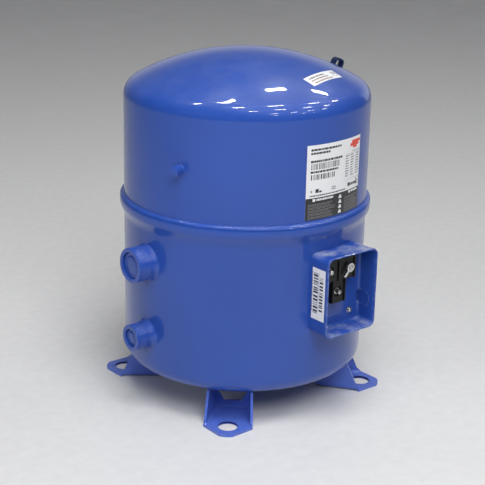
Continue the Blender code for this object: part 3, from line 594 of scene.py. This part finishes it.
def fitting(name, spec, node):
    # Turned fitting on the shell: weld fillet that follows the shell, threaded neck, rim, bore.
    # Each profile row is radius, distance from the shell axis, and how much it follows the shell.
    s = spec
    radius, neckEnd, face, step, lip = s["radius"], s["neck"], s["face"], s["step"], s["lip"]
    seat, bottom, sunk = shellRadius - 0.0012, 0.1724, face - 0.012
    turn = np.linspace(0, np.pi / 2, 14)
    fillet = np.stack([s["base"] + (radius - s["base"]) * np.sin(turn) ** 0.9,
                       seat + (neckEnd - seat) * (1 - np.cos(turn)), np.linspace(1, 0.1, 14)], -1)
    rows = int((face - neckEnd) / 0.00035)
    neck = np.stack([np.full(rows, radius), np.linspace(neckEnd, face - lip, rows),
                     np.linspace(0.1, 0, rows)], -1)[1:]
    rim = np.concatenate([arcLine(radius - lip, face - lip, lip, 0, 90, 5),
                          line((radius - lip, face), (step + lip / 2, face), steps=2)[1:],
                          arcLine(step + lip / 2, face - lip / 2, lip / 2, 90, 180, 4)[1:]])
    inside = line((step, face - lip), (step, sunk), (s["bore"], sunk), (s["bore"], bottom),
                  (radius - 0.001, bottom), steps=3)[1:]
    rest = np.concatenate([rim[1:], inside])
    rest = np.concatenate([rest, np.zeros((len(rest), 1))], 1)
    profile = np.concatenate([fillet, neck, rest])
    angle = np.linspace(0, tau, 144, endpoint=False)[:, None]
    r, a, k = (profile[:, i][None] for i in range(3))
    onNeck = np.zeros(len(profile))
    onNeck[len(fillet):len(fillet) + len(neck)] = 1
    along = np.clip((a - neckEnd - 0.0015) / 0.002, 0, 1) * np.clip((face - lip - 0.001 - a) / 0.001, 0, 1)
    thread = np.abs(((a / s["pitch"] - angle / tau) % 1) * 2 - 1)  # a V that climbs one pitch a turn
    r = r - s["thread"] * (1 - thread) ** 0.8 * along * onNeck[None]
    lumps = 1 + 0.012 * np.sin(7 * angle) + 0.008 * np.sin(17 * angle + 2)
    r = np.where(k > 0.12, radius + (r - radius) * lumps, r)
    across, up = r * np.cos(angle), r * np.sin(angle)
    points = np.stack([across, up, a + saddle(across) * k], -1)
    piece = gridPiece(name, moved(points, s["place"]), True, True, sharp=50)
    return ready(piece, blueEnamel, "blue_enamel", node)


def plug(name, spec, node, radius, out):
    # Closing disc in the mouth of a fitting: crowned middle, shallow groove, rolled edge.
    # Each row is a share of the radius and a height above out.
    shares = [(0, 0.0004), (0.30, 0.0003), (0.62, 0), (0.70, -0.0005), (0.76, -0.0012), (0.82, -0.0010),
              (0.90, -0.0003), (0.97, -0.0008), (1, -0.0018)]
    deep = spec["face"] - 0.0116
    profile = np.array([*[(radius * share, out + rise) for share, rise in shares], (radius, deep), (0, deep)])
    piece = revolve(name, profile, 96, spec["place"], wrap=False, sharp=60)
    return ready(piece, blueEnamel, "blue_enamel", node)


faceOut = -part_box("suction_port")[0].x
suctionSpec = dict(place=facing(-90, 0.220), base=0.0300, radius=0.0250, neck=0.1835, face=faceOut,
                   lip=0.0012, step=0.0190, bore=0.0140, thread=0.00055, pitch=0.0021)
dischargeSpec = dict(place=facing(-90, 0.112), base=0.0268, radius=0.0192, neck=0.1870, face=faceOut,
                     lip=0.0010, step=0.0130, bore=0.0090, thread=0.00050, pitch=0.0019)
glassSpec = dict(place=facing(90, 0.105), base=0.0265, radius=0.0190, neck=0.1850, face=faceOut,
                 lip=0.0010, step=0.0130, bore=0.0100, thread=0.00050, pitch=0.0019)
equalSpec = dict(place=facing(180, 0.105), base=0.0145, radius=0.0100, neck=0.1805, face=0.1950,
                 lip=0.0008, step=0.0070, bore=0.0050, thread=0.00035, pitch=0.0015)
gaugeSpec = dict(place=facing(-69.3, 0.366), base=0.0098, radius=0.0064, neck=0.1796, face=0.1846,
                 lip=0.0004, step=0.0040, bore=0.0030, thread=0.00020, pitch=0.0011)


def hexRadius(angle, flat):
    # Distance to the side of a hexagon whose half width is flat.
    return flat / np.cos((angle + np.pi / 6) % (np.pi / 3) - np.pi / 6)


def hexCap(name, spec, node, flat, low, high, material, slot):
    # Hexagon bar turned down at both ends: radius = min(hexagon, cone).
    angle = np.linspace(0, tau, 144, endpoint=False)[:, None]
    t = np.linspace(0, 1, 22)[None]
    a = low + (high - low) * t
    corner = flat / np.cos(np.pi / 6)
    cone = flat * 0.97 + 0.9 * np.minimum(a - low, high - a) * 1.8
    r = np.minimum(np.minimum(hexRadius(angle, flat), cone), corner)
    none, crowned = np.zeros((144, 1)), high + 0.0004
    r = np.concatenate([none, r, none + flat * 0.55, none + flat * 0.5, none], 1)
    a = np.concatenate([none + low, a + 0 * angle, none + high, none + crowned, none + crowned], 1)
    points = np.stack([r * np.cos(angle), r * np.sin(angle), a], -1)
    return ready(gridPiece(name, moved(points, spec["place"]), True), material, slot, node)


def makeFittings():
    fitting("suctionFitting", suctionSpec, "suction_port")
    fitting("dischargeFitting", dischargeSpec, "discharge_port")
    fitting("sightGlassFitting", glassSpec, "sight_glass_body")
    fitting("equalisingFitting", equalSpec, "equalising_port")
    fitting("gaugeFitting", gaugeSpec, "gauge_valve_stub")
    plug("suctionClosure", suctionSpec, "suction_plug", 0.0187, faceOut - 0.0034)
    plug("dischargeClosure", dischargeSpec, "discharge_plug", 0.0127, faceOut - 0.0026)
    lens = np.array([(0, 0.0016), (0.004, 0.0015), (0.008, 0.0009), (0.0112, 0), (0.0127, -0.0010),
                     (0.0127, -0.0070), (0, -0.0070)]) + [0, faceOut - 0.0046]
    ready(revolve("sightGlassWindow", lens, 96, glassSpec["place"], wrap=False), sightGlass, "sight_glass",
          "sight_glass_lens")
    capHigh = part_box("equalising_cap")[1].y
    hexCap("equalisingFlareCap", equalSpec, "equalising_cap", 0.0117, 0.1953, capHigh - 0.0004,
           brassMetal, "brass")
    hexCap("gaugeFlareCap", gaugeSpec, "gauge_valve_cap", 0.0066, 0.1848, 0.1922, blueEnamel, "blue_enamel")


makeFittings()
print("fittings made")


eyeSpec = dict(degrees=79.0, radius=0.147, half=0.0064, height=0.0098, bend=0.0041, sheet=0.0032,
               width=0.0120)


def makeLiftingEye():
    # Flat bar bent over in an arch that stands square on the dome.
    e = eyeSpec
    slope = np.arcsin(e["radius"] / shellSpec["crown"])
    spot = (Matrix.Rotation(np.radians(e["degrees"] - 90), 4, "Z")
            @ Matrix.Translation((e["radius"], 0, float(domeHeight(e["radius"]))))
            @ Matrix.Rotation(slope, 4, "Y"))
    h, z, b = e["half"], e["height"], e["bend"]
    arch = np.concatenate([line((-h - 0.0004, 0.0004), (-h, z - b), steps=6)[:-1],
                           arcLine(-h + b, z - b, b, 180, 90, 12),
                           line((-h + b, z), (h - b, z), steps=4)[1:-1],
                           arcLine(h - b, z - b, b, 90, 0, 12),
                           line((h, z - b), (h + 0.0004, 0.0004), steps=6)[1:]])
    path = np.stack([arch[:, 0], 0 * arch[:, 0], arch[:, 1]], -1)
    section = roundedSection(e["width"] / 2 - 0.0002, e["sheet"] / 2, 0.0009)
    across = (spot.to_3x3() @ Vector((0, 1, 0)))[:]
    piece = sweep("liftingStrap", moved(path, spot), across, section, sharp=50)
    ready(piece, darkEnamel, "dark_enamel", "lifting_eye")


makeLiftingEye()


boxLow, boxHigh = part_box("terminal_box")
boxSpec = dict(centreX=(boxLow.x + boxHigh.x) / 2, half=(boxHigh.x - boxLow.x) / 2, low=boxLow.z,
               high=boxHigh.z, front=-boxLow.y, back=0.150, plate=0.180, sheet=0.0020, corner=0.0095,
               draw=0.0045, flare=0.0009, hole=0.0224, holeX=0.008, holeZ=0.213)


def boxOutline(inset):
    # Rounded rectangle in x and z, moved inwards by inset; corners and sides share out the points.
    b = boxSpec
    half, low, high = b["half"] - inset, b["low"] + inset, b["high"] - inset
    c = max(b["corner"] - inset, 0.0008)
    quarters = [(half - c, high - c, 0), (-half + c, high - c, 90),
                (-half + c, low + c, 180), (half - c, low + c, 270)]
    arcs = [arcLine(x, z, c, a, a + 90, 10) for x, z, a in quarters]
    parts = []
    for now, then in zip(arcs, arcs[1:] + arcs[:1]):
        parts += [now, line(now[-1], then[0], steps=6)[1:-1]]
    return np.concatenate(parts) + [b["centreX"], 0]


def makeTerminalBox():
    # Rows run over the wall: outside, rolled rim, inside, drawn corner, plate, hole, and back behind.
    b = boxSpec
    front, plate, t, d = b["front"], b["plate"], b["sheet"], b["draw"]
    flare = b["flare"]
    rows = [(0.0, b["back"]), (0.0, 0.160), (0.0, 0.185), (0.0, front - 0.010), (-0.0002, front - 0.005),
            (-flare, front - 0.0010), (-flare + 0.0004, front), (t - flare - 0.0002, front),
            (t - flare * 0.8, front - 0.0012), (t, front - 0.006), (t, front - 0.014), (t, plate + d)]
    rows += [tuple(row) for row in arcLine(t + d, plate + d, d, 180, 270, 6)[1:]]

    def atDepth(outline, out):
        return np.column_stack([outline, np.full(len(outline), out)])

    outside = [atDepth(boxOutline(inset), out) for inset, out in rows]
    inner = boxOutline(t + d)
    a = np.arctan2(inner[:, 1] - b["holeZ"], inner[:, 0] - b["holeX"])
    ring = np.stack([b["holeX"] + b["hole"] * np.cos(a), b["holeZ"] + b["hole"] * np.sin(a)], -1)
    for out, shares in ((plate, (0.35, 0.7, 0.94, 1.0)), (plate - t, (1.0, 0.6, 0.0))):
        outside += [atDepth(inner * (1 - share) + ring * share, out) for share in shares]
    outside += [atDepth(boxOutline(t), plate - t), atDepth(boxOutline(t), b["back"])]
    grid = np.stack(outside)
    points = np.stack([grid[..., 0], -grid[..., 2], grid[..., 1]], -1)
    shellCurve = np.sqrt((shellRadius - 0.0004) ** 2 - points[..., 0] ** 2)
    touching = [0, len(points) - 1]
    points[touching, :, 1] = -shellCurve[touching]
    points[1, :, 1] = -(shellCurve[1] + 0.004)
    shape = gridPiece("box", points, True, True)
    wallX = b["centreX"] + b["half"]
    turned = Matrix.Translation((0, -0.189, 0.172)) @ Matrix.Rotation(np.pi / 2, 4, "Y")
    cutter = np.array([(0, -0.006), (0.0128, -0.006), (0.0128, 0.004), (0, 0.004)]) + [0, wallX]
    entry = revolve("entry", cutter, 72, turned, wrap=False)
    box = fused("terminalBoxShell", shape, cut=[entry], sharp=40)
    markWear(box, lambda p: np.clip((-p[:, 1] - front + 0.0035) / 0.003, 0, 1))
    ready(box, boxEnamel, "blue_enamel", "terminal_box")
    disc = np.array([(0, -0.0020), (0.0102, -0.0020), (0.0110, -0.0026), (0.0122, -0.0026), (0.0126, -0.0020),
                     (0.0126, -0.0002), (0.0118, 0.0002), (0, 0.0002)]) + [0, wallX]
    knockout = revolve("cableKnockout", disc, 72, turned, wrap=False)
    ready(knockout, blueEnamel, "blue_enamel", "cable_entry_knockout")


makeTerminalBox()
print("terminal box made")


blockSpec = dict(x=0.008, front=0.198, back=0.1818, recess=0.0022, bar=(0.2105, 0.2440), halfBar=0.031,
                 stem=(0.179, 0.2160), halfStem=0.0125, edge=0.0014,
                 studs=((-0.018, 0.2278), (0.018, 0.2278), (-0.002, 0.1965)))


def makeTerminalBlock():
    # T-shaped moulding: deep bar and stem, ribs on both, and a pocket for each stud.
    b = blockSpec
    x, front, back = b["x"], b["front"], b["back"]

    def slab(name, half, heights):
        return roundedBox(name, (x - half, -front + b["recess"], heights[0]),
                          (x + half, -back, heights[1]), b["edge"])

    def rib(centre, half, low, high):
        return roundedBox("rib", (x + centre - half, -front, low),
                          (x + centre + half, -back - 0.003, high), 0.0006)

    ribs = [rib(centre, 0.0016, 0.2112, 0.2434) for centre in (-0.0295, -0.0005, 0.0285)]
    ribs += [rib(centre, 0.0012, 0.1800, 0.2120) for centre in (-0.0112, 0.0112)]
    ribs.append(rib(0, 0.0300, 0.2414, 0.2438))
    pocket = np.array([(0, 0.1935), (0.0075, 0.1935), (0.0082, 0.21), (0, 0.21)])
    pockets = [revolve("pocket", pocket, 48, facing(0) @ Matrix.Translation((x + px, pz, 0)), wrap=False)
               for px, pz in b["studs"]]
    bar, stem = slab("bar", b["halfBar"], b["bar"]), slab("stem", b["halfStem"], b["stem"])
    block = fused("terminalBlockMoulding", bar, add=[stem, *ribs], cut=pockets, sharp=40)
    ready(block, blackMoulding, "black_plastic", "terminal_block")


def studScrew(name, node, px, pz, low, high, radius, slotTurn):
    # Washer, pan head with a driving slot.
    head, neck = high - 0.0014, radius * 0.80
    profile = np.array([(0, low), (radius, low), (radius, low + 0.0008), (neck, low + 0.0010),
                        (neck, low + 0.0014), (radius * 0.78, head - 0.0004), (radius * 0.70, head + 0.0004),
                        (radius * 0.45, high - 0.0003), (0, high)])
    place = facing(0) @ Matrix.Translation((px, pz, 0)) @ Matrix.Rotation(np.radians(slotTurn), 4, "Z")
    body = revolve(name + "Raw", profile, 48, place, wrap=False)
    slotBox = roundedBox("slot", (-radius, -0.0005, high - 0.0012), (radius, 0.0005, high + 0.003),
                         0.0001, 2, place)
    ready(fused(name, body, cut=[slotBox], sharp=40), zincPlate, "zinc_screw", node)


def ringTag():
    # Ring lug with its crimped barrel, clamped under the right-hand screw.
    x, z = blockSpec["x"] + blockSpec["studs"][1][0], blockSpec["studs"][1][1]
    section = np.array([(0.0034, 0.1996), (0.0064, 0.1996), (0.0066, 0.2000), (0.0064, 0.2004),
                        (0.0034, 0.2004)])
    ring = revolve("ring", section, 64, facing(0) @ Matrix.Translation((x, z, 0)))
    a = np.radians(222)
    t = np.linspace(0.0055, 0.0165, 14)
    bow = 0.0012 * np.sin((t - 0.0055) * 190)
    path = np.stack([x + t * np.cos(a), -0.2000 - bow, z + t * np.sin(a)], -1)
    barrel = sweep("barrel", path, (0, 1, 0), roundedSection(0.0014, 0.0021, 0.0013))
    ready(fused("ringLug", ring, add=[barrel], sharp=50), zincPlate, "zinc_screw")


def makeTerminals():
    makeTerminalBlock()
    studScrew("studScrewLeft", "terminal_screw_left", -0.010, 0.2278, 0.1940, 0.2023, 0.0046, 20)
    studScrew("studScrewRight", "terminal_screw_right", 0.026, 0.2278, 0.1940, 0.2023, 0.0036, -35)
    studScrew("studScrewLower", "terminal_screw_lower", 0.006, 0.1965, 0.1940, 0.2023, 0.0044, 75)
    studScrew("earthScrewHead", "earth_screw", 0.0455, 0.1546, 0.1803, 0.1840, 0.0050, 50)
    ringTag()


makeTerminals()
print("terminals made")


white, ink, warm, red = (0.80, 0.81, 0.83), (0.016, 0.016, 0.019), (0.24, 0.16, 0.12), (0.72, 0.06, 0.03)
grey, table, faint = (0.28, 0.29, 0.30), (0.12, 0.12, 0.13), (0.17, 0.17, 0.18)
filmThickness = 0.0003


def words(rng, x0, x1, y, height, ink, gap=0.0011, longest=0.0042):
    # A line of word-like dashes from x0 to x1.
    marks = []
    x = x0
    while x < x1 - 0.0006:
        width = min(rng.uniform(0.0010, longest), x1 - x)
        marks.append((x, y, x + width, y + height, ink))
        x += width + gap
    return marks


def bars(rng, x0, x1, y0, y1, ink, thin):
    # A run of upright bars of uneven width.
    marks = []
    x = x0
    while x < x1 - thin:
        width = thin * rng.choice([1, 1, 2, 3])
        marks.append((x, y0, min(x + width, x1), y1, ink))
        x += width + thin * rng.choice([1, 2, 2, 3])
    return marks


def film(name, size, place, marks, node):
    # Sheet whose grid lines run along the edges of its printed marks, so each cell is one colour.
    # place turns an array (x, y) on the flat sheet into points and outward normals.
    width, height = size
    xs = np.unique(np.round(np.concatenate([np.linspace(0, width, 25), *[m[0:3:2] for m in marks]]), 5))
    ys = np.unique(np.round(np.concatenate([np.linspace(0, height, 9), *[m[1:4:2] for m in marks]]), 5))
    xs, ys = xs[(xs >= 0) & (xs <= width)], ys[(ys >= 0) & (ys <= height)]
    gx, gy = np.meshgrid(xs, ys, indexing="ij")
    points, normal = place(gx, gy)
    nu, nv = gx.shape
    verts = np.concatenate([points.reshape(-1, 3), (points + normal * filmThickness).reshape(-1, 3)])
    faces = sheetFaces(nu, nv)
    cells = (nu - 1) * (nv - 1)
    mesh = bpy.data.meshes.new(name)
    mesh.from_pydata(verts.tolist(), [], faces.tolist())
    cx, cy = (xs[:-1] + xs[1:]) / 2, (ys[:-1] + ys[1:]) / 2
    mx, my = np.meshgrid(cx, cy, indexing="ij")
    colour = np.ones((mx.size, 4))
    colour[:, :3] = white
    mx, my = mx.ravel(), my.ravel()
    for x0, y0, x1, y1, shade in marks:
        colour[(mx > x0) & (mx < x1) & (my > y0) & (my < y1), :3] = shade
    perFace = np.ones((len(faces), 4))
    perFace[:, :3] = white
    perFace[cells:2 * cells] = colour
    attribute = mesh.attributes.new("ink", "FLOAT_COLOR", "CORNER")
    attribute.data.foreach_set("color", np.repeat(perFace, 4, axis=0).ravel().astype(np.float32))
    mesh.shade_smooth()
    mesh.set_sharp_from_angle(angle=np.radians(34))
    obj = bpy.data.objects.new(name, mesh)
    bpy.context.scene.collection.objects.link(obj)
    return ready(obj, labelFilm, "label_film", node)


def nameLabelMarks(width, height):
    # Generic rating plate: heading lines, bars, a value table, a red mark, a dark warning field.
    rng = np.random.default_rng(7)
    dark = 0.0305
    marks = [(0, 0, width, dark, ink)]
    for row, y in enumerate((height - 0.0080, height - 0.0128)):
        marks += words(rng, 0.006, 0.060 - 0.022 * row, y, 0.0028, ink, 0.0006, 0.006)
    marks += [(width - 0.027, height - 0.0078, width - 0.004, height - 0.0040, red),
              (width - 0.031, height - 0.0122, width - 0.009, height - 0.0078, red),
              (width - 0.024, height - 0.0152, width - 0.014, height - 0.0122, red)]
    marks += words(rng, width - 0.026, width - 0.005, height - 0.0200, 0.0016, grey)
    marks += words(rng, 0.006, 0.062, height - 0.0240, 0.0030, ink, 0.0005, 0.005)
    marks += bars(rng, 0.007, 0.056, height - 0.0340, height - 0.0255, ink, thin=0.0006)
    marks += words(rng, 0.006, 0.055, height - 0.0385, 0.0028, ink, 0.0006, 0.005)
    marks += bars(rng, 0.007, 0.049, height - 0.0480, height - 0.0405, ink, thin=0.0006)
    for row in range(9):
        y = height - 0.0250 - row * 0.0035
        for x0, x1 in ((0.070, 0.079), (0.082, 0.091), (0.095, 0.106)):
            marks += words(rng, x0, x1 - rng.uniform(0, 0.003), y, 0.0017, table, 0.0007, 0.0035)
    marks += [(0.069, height - 0.0222, 0.107, height - 0.0217, grey),
              (0.069, height - 0.0575, 0.107, height - 0.0571, grey)]
    for row in range(6):
        for column in range(5):
            if rng.random() < 0.62:
                x, y = width - 0.0135 + column * 0.0018, height - 0.0695 + row * 0.0018
                marks.append((x, y, x + 0.0018, y + 0.0018, ink))
    marks += [(0.007, dark + 0.0075, 0.0098, dark + 0.0108, grey),
              (0.0150, dark + 0.0068, 0.0205, dark + 0.0120, ink),
              (0.0212, dark + 0.0068, 0.0255, dark + 0.0092, ink),
              (0.043, dark + 0.0075, 0.051, dark + 0.0092, grey),
              (0.043, dark + 0.0104, 0.051, dark + 0.0119, grey),
              (0.077, dark + 0.0052, 0.083, dark + 0.0102, ink)]
    marks += words(rng, 0.084, 0.100, dark + 0.0058, 0.0034, ink, 0.0004, 0.004)
    marks += words(rng, 0.006, 0.072, dark + 0.0020, 0.0018, ink, 0.0006)
    marks += [(0.011, dark - 0.0052, 0.0152, dark - 0.0014, white),
              (0.080, dark - 0.0048, 0.0842, dark - 0.0010, white)]
    marks += words(rng, 0.017, 0.047, dark - 0.0046, 0.0028, white, 0.0006, 0.004)
    marks += words(rng, 0.086, 0.104, dark - 0.0042, 0.0028, white, 0.0006, 0.004)
    for row in range(5):
        y = dark - 0.0098 - row * 0.0044
        for x0, x1 in ((0.004, 0.052), (0.070, 0.106)):
            marks += words(rng, x0, x1 - rng.uniform(0, 0.008), y, 0.0012, faint, 0.0006, 0.0045)
            marks += words(rng, x0, x1 - rng.uniform(0, 0.014), y - 0.0018, 0.0010, faint, 0.0006, 0.0045)
    for row in range(4):
        y = dark - 0.0048 - row * 0.0070
        marks += [(0.0580, y - 0.0030, 0.0642, y - 0.0006, white),
                  (0.0592, y - 0.0006, 0.0630, y + 0.0018, white)]
    return marks


def makeNameLabel():
    low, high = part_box("name_label")
    start, end = np.radians(-12.4), np.radians(23.5)
    radius = shellRadius + 0.0004
    width, height = radius * (end - start), high.z - low.z

    def place(x, y):
        a = start + x / radius
        normal = np.stack([np.sin(a), -np.cos(a), 0 * a], -1)
        return np.stack([radius * np.sin(a), -radius * np.cos(a), low.z + y], -1), normal

    film("nameLabelFilm", (width, height), place, nameLabelMarks(width, height), "name_label")


def makeDomeLabel():
    # Small sticker laid on the dome along a straight line across it.
    left, right = np.array([-0.0010, -0.1295]), np.array([0.0733, -0.1067])
    width, height = np.linalg.norm(right - left), 0.0180
    along = (right - left) / width
    upward = np.array([-along[1], along[0]])
    rng = np.random.default_rng(3)
    marks = []
    for row, (x1, shade) in enumerate(((0.046, ink), (0.050, warm), (0.054, warm))):
        marks += words(rng, 0.007, x1, height - 0.0062 - row * 0.0048, 0.0026, shade, 0.0009, 0.006)
    for row in range(5):
        for column in range(8):
            if rng.random() < 0.6:
                x, y = 0.0615 + column * 0.0018, 0.0050 + row * 0.0020
                marks.append((x, y, x + 0.0018, y + 0.0020, grey))

    def place(x, y):
        flat = left + along * x[..., None] + upward * (y[..., None] - height / 2)
        crown = shellSpec["crown"]
        h = np.sqrt(crown ** 2 - (flat ** 2).sum(-1))
        normal = np.concatenate([flat, h[..., None]], -1) / crown
        centre = np.array([0, 0, domeTop - crown])
        return centre + normal * (crown + 0.0004), normal

    film("domeLabelFilm", (width, height), place, marks, "dome_label")


def makeBoxLabel():
    low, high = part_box("box_label")
    wall = boxLow.x - 0.0002
    width, height = high.z - low.z, high.y - low.y
    rng = np.random.default_rng(11)
    marks = bars(rng, 0.007, width - 0.006, 0.0140, 0.0228, ink, thin=0.0010)
    marks += bars(rng, 0.012, width - 0.012, 0.0040, 0.0108, ink, thin=0.0009)
    marks += words(rng, 0.006, width - 0.010, 0.0242, 0.0014, grey)
    marks += words(rng, 0.006, width - 0.014, 0.0120, 0.0012, grey)

    def place(x, y):
        return (np.stack([wall + 0 * x, low.y + y, high.z - x], -1),
                np.stack([-1 + 0 * x, 0 * x, 0 * x], -1))

    film("boxLabelFilm", (width, height), place, marks, "box_label")


makeNameLabel()
makeDomeLabel()
makeBoxLabel()
print("labels made")


slotMaterials = dict(blue_enamel=blueEnamel, dark_enamel=darkEnamel, black_plastic=blackMoulding,
                     label_film=labelFilm, zinc_screw=zincPlate, plate_steel=steelMetal,
                     machined_steel=steelMetal, lamination_steel=laminations, copper_wire=copperMetal,
                     copper_pipe=copperMetal, bearing_bronze=bearingBronze, brass=brassMetal,
                     sight_glass=sightGlass, lead_sleeve=leadSleeve, cast_iron=castIron,
                     aluminium=castAluminium)
for part in frame["record"]["subparts"]:
    node = frame["nodes"][part["node"]]
    node.data.materials.clear()
    node.data.materials.append(slotMaterials[part["material_slot"]])


viewSpec = dict(distance=1.800, height=0.82756, heading=-39.588, aim=0.0745, tilt=18.831, roll=1.2588,
                lens=95.49)
lightSpec = dict(front=0.05, side=0.02, leftWall=0.12, rightWall=0.80, back=0.50, upper=0.14, ceiling=0.18,
                 key=76.0, fill=10.0, flank=22.0, overhead=66.0, strip=12.0, wallLeft=(114, 119),
                 wallRight=(137, 141))


def makeFloor():
    # Flat coated floor just under the feet, slightly mottled.
    n = Nodes("floorCoat")
    speck = n.noise(60.0, 6.0)
    base = n.mix(n.span(speck, 0.3, 0.7), (0.69, 0.69, 0.69), (0.735, 0.735, 0.73))
    material = n.finish(Base_Color=base, Roughness=n.span(n.noise(8.0, 4.0), 0.3, 0.7, 0.34, 0.46),
                        Normal=n.bump(speck, 0.0003, 0.25))
    grid = np.stack(np.meshgrid(np.linspace(-9, 9, 5), np.linspace(-9, 9, 5), indexing="ij"), -1)
    points = np.concatenate([grid, np.zeros((5, 5, 1)) - 0.0002], -1)
    floor = gridPiece("studioFloor", points)
    floor.data.materials.append(material)
    if floor.data.polygons[0].normal.z < 0:
        floor.data.flip_normals()


def makeWorld():
    # Pale room round the object: bright walls behind it, a darker room in front, a bright ceiling.
    g = lightSpec
    world = bpy.data.worlds.new("studio")
    world.use_nodes = True
    tree = world.node_tree

    def put(kind, inputs, **values):
        node = tree.nodes.new(kind)
        for key, value in values.items():
            setattr(node, key, value)
        for socket, value in zip(node.inputs, inputs):
            if isinstance(value, bpy.types.NodeSocket):
                tree.links.new(value, socket)
            elif value is not None:
                socket.default_value = value
        return node.outputs[0]

    def maths(operation, *inputs):
        return put("ShaderNodeMath", inputs, operation=operation)

    def between(share, low, high):
        return put("ShaderNodeMapRange", [share, 0.0, 1.0, low, high])

    def smooth(value, low, high, outLow=0.0, outHigh=1.0):
        return put("ShaderNodeMapRange", [value, low, high, outLow, outHigh], interpolation_type="SMOOTHSTEP")

    direction = tree.nodes.new("ShaderNodeTexCoord").outputs["Generated"]
    split = tree.nodes.new("ShaderNodeSeparateXYZ")
    tree.links.new(direction, split.inputs[0])
    x, y, z = split.outputs
    heading = np.radians(viewSpec["heading"])
    cx, cy = float(np.sin(heading)), float(-np.cos(heading))
    along = maths("ADD", maths("MULTIPLY", x, cx), maths("MULTIPLY", y, cy))
    across = maths("SUBTRACT", maths("MULTIPLY", y, cx), maths("MULTIPLY", x, cy))
    angle = maths("ARCTAN2", across, along)  # 0 towards the viewer, left is negative
    room = smooth(maths("ABSOLUTE", angle), 0.5, 1.2, g["front"], g["side"])
    limits = [float(np.radians(v)) for v in (*g["wallLeft"], *g["wallRight"])]
    wallLeft = smooth(maths("MULTIPLY", angle, -1.0), *limits[:2])
    wallRight = smooth(angle, *limits[2:])
    behind = smooth(maths("ABSOLUTE", angle), 2.3, 3.1)
    for share, level in ((wallLeft, g["leftWall"]), (wallRight, g["rightWall"])):
        level = between(smooth(z, 0.12, 0.40), between(behind, level, g["back"]), g["upper"])
        room = between(share, room, level)
    power = between(smooth(z, 0.50, 0.80), room, g["ceiling"])
    sky = tree.nodes["Background"]
    sky.inputs["Color"].default_value = (0.95, 0.96, 1.0, 1.0)
    tree.links.new(power, sky.inputs["Strength"])
    bpy.context.scene.world = world


def areaLight(name, place, target, size, power, mirrored=False):
    # Panel turned to its target; a mirrored one is seen in reflections only, the others light only.
    data = bpy.data.lights.new(name, "AREA")
    data.shape = "RECTANGLE"
    data.size, data.size_y = size
    data.energy = power
    lamp = bpy.data.objects.new(name, data)
    lamp.location = place
    lamp.rotation_euler = (Vector(target) - Vector(place)).to_track_quat("-Z", "Y").to_euler()
    lamp.visible_glossy = mirrored
    lamp.visible_diffuse = not mirrored
    bpy.context.scene.collection.objects.link(lamp)


def makeCamera():
    # Stands at a heading and distance from the shell axis, aimed, tilted down and rolled.
    v = viewSpec
    heading = np.radians(v["heading"])
    data = bpy.data.cameras.new("view")
    data.lens = v["lens"]
    data.sensor_width = 36.0
    camera = bpy.data.objects.new("view", data)
    camera.location = (v["distance"] * np.sin(heading), -v["distance"] * np.cos(heading), v["height"])
    look = np.radians(v["heading"] + v["aim"])
    turn = Matrix.Rotation(look, 4, "Z") @ Matrix.Rotation(np.radians(90 - v["tilt"]), 4, "X")
    turn = turn @ Matrix.Rotation(np.radians(v["roll"]), 4, "Z")
    camera.matrix_world = Matrix.Translation(camera.location) @ turn
    bpy.context.scene.collection.objects.link(camera)
    bpy.context.scene.camera = camera


def makeStage():
    bpy.context.scene.view_settings.view_transform = "Standard"
    makeFloor()
    makeWorld()
    level = lightSpec
    areaLight("keyPanel", (-1.4, -2.7, 2.9), (0, 0, 0.25), (2.0, 1.6), level["key"])
    areaLight("fillPanel", (2.8, -1.6, 2.4), (0, 0, 0.25), (2.0, 2.0), level["fill"])
    areaLight("flankPanel", (-3.4, -0.3, 1.5), (0, 0, 0.20), (1.2, 1.2), level["flank"])
    areaLight("overheadPanel", (-0.4, -0.9, 3.1), (0, 0, 0.25), (1.6, 1.6), level["overhead"])
    for row, y in enumerate((-4.6, -3.1, -1.6, -0.4, 0.8)):
        for column in range(4):
            x = -1.0 + column * 1.15 + 0.35 * (row % 2)
            areaLight(f"ceilingStrip{row}{column}", (x, y, 3.0), (x, y, 0), (0.44, 0.11),
                      level["strip"], True)
    makeCamera()


makeStage()
print("stage made")
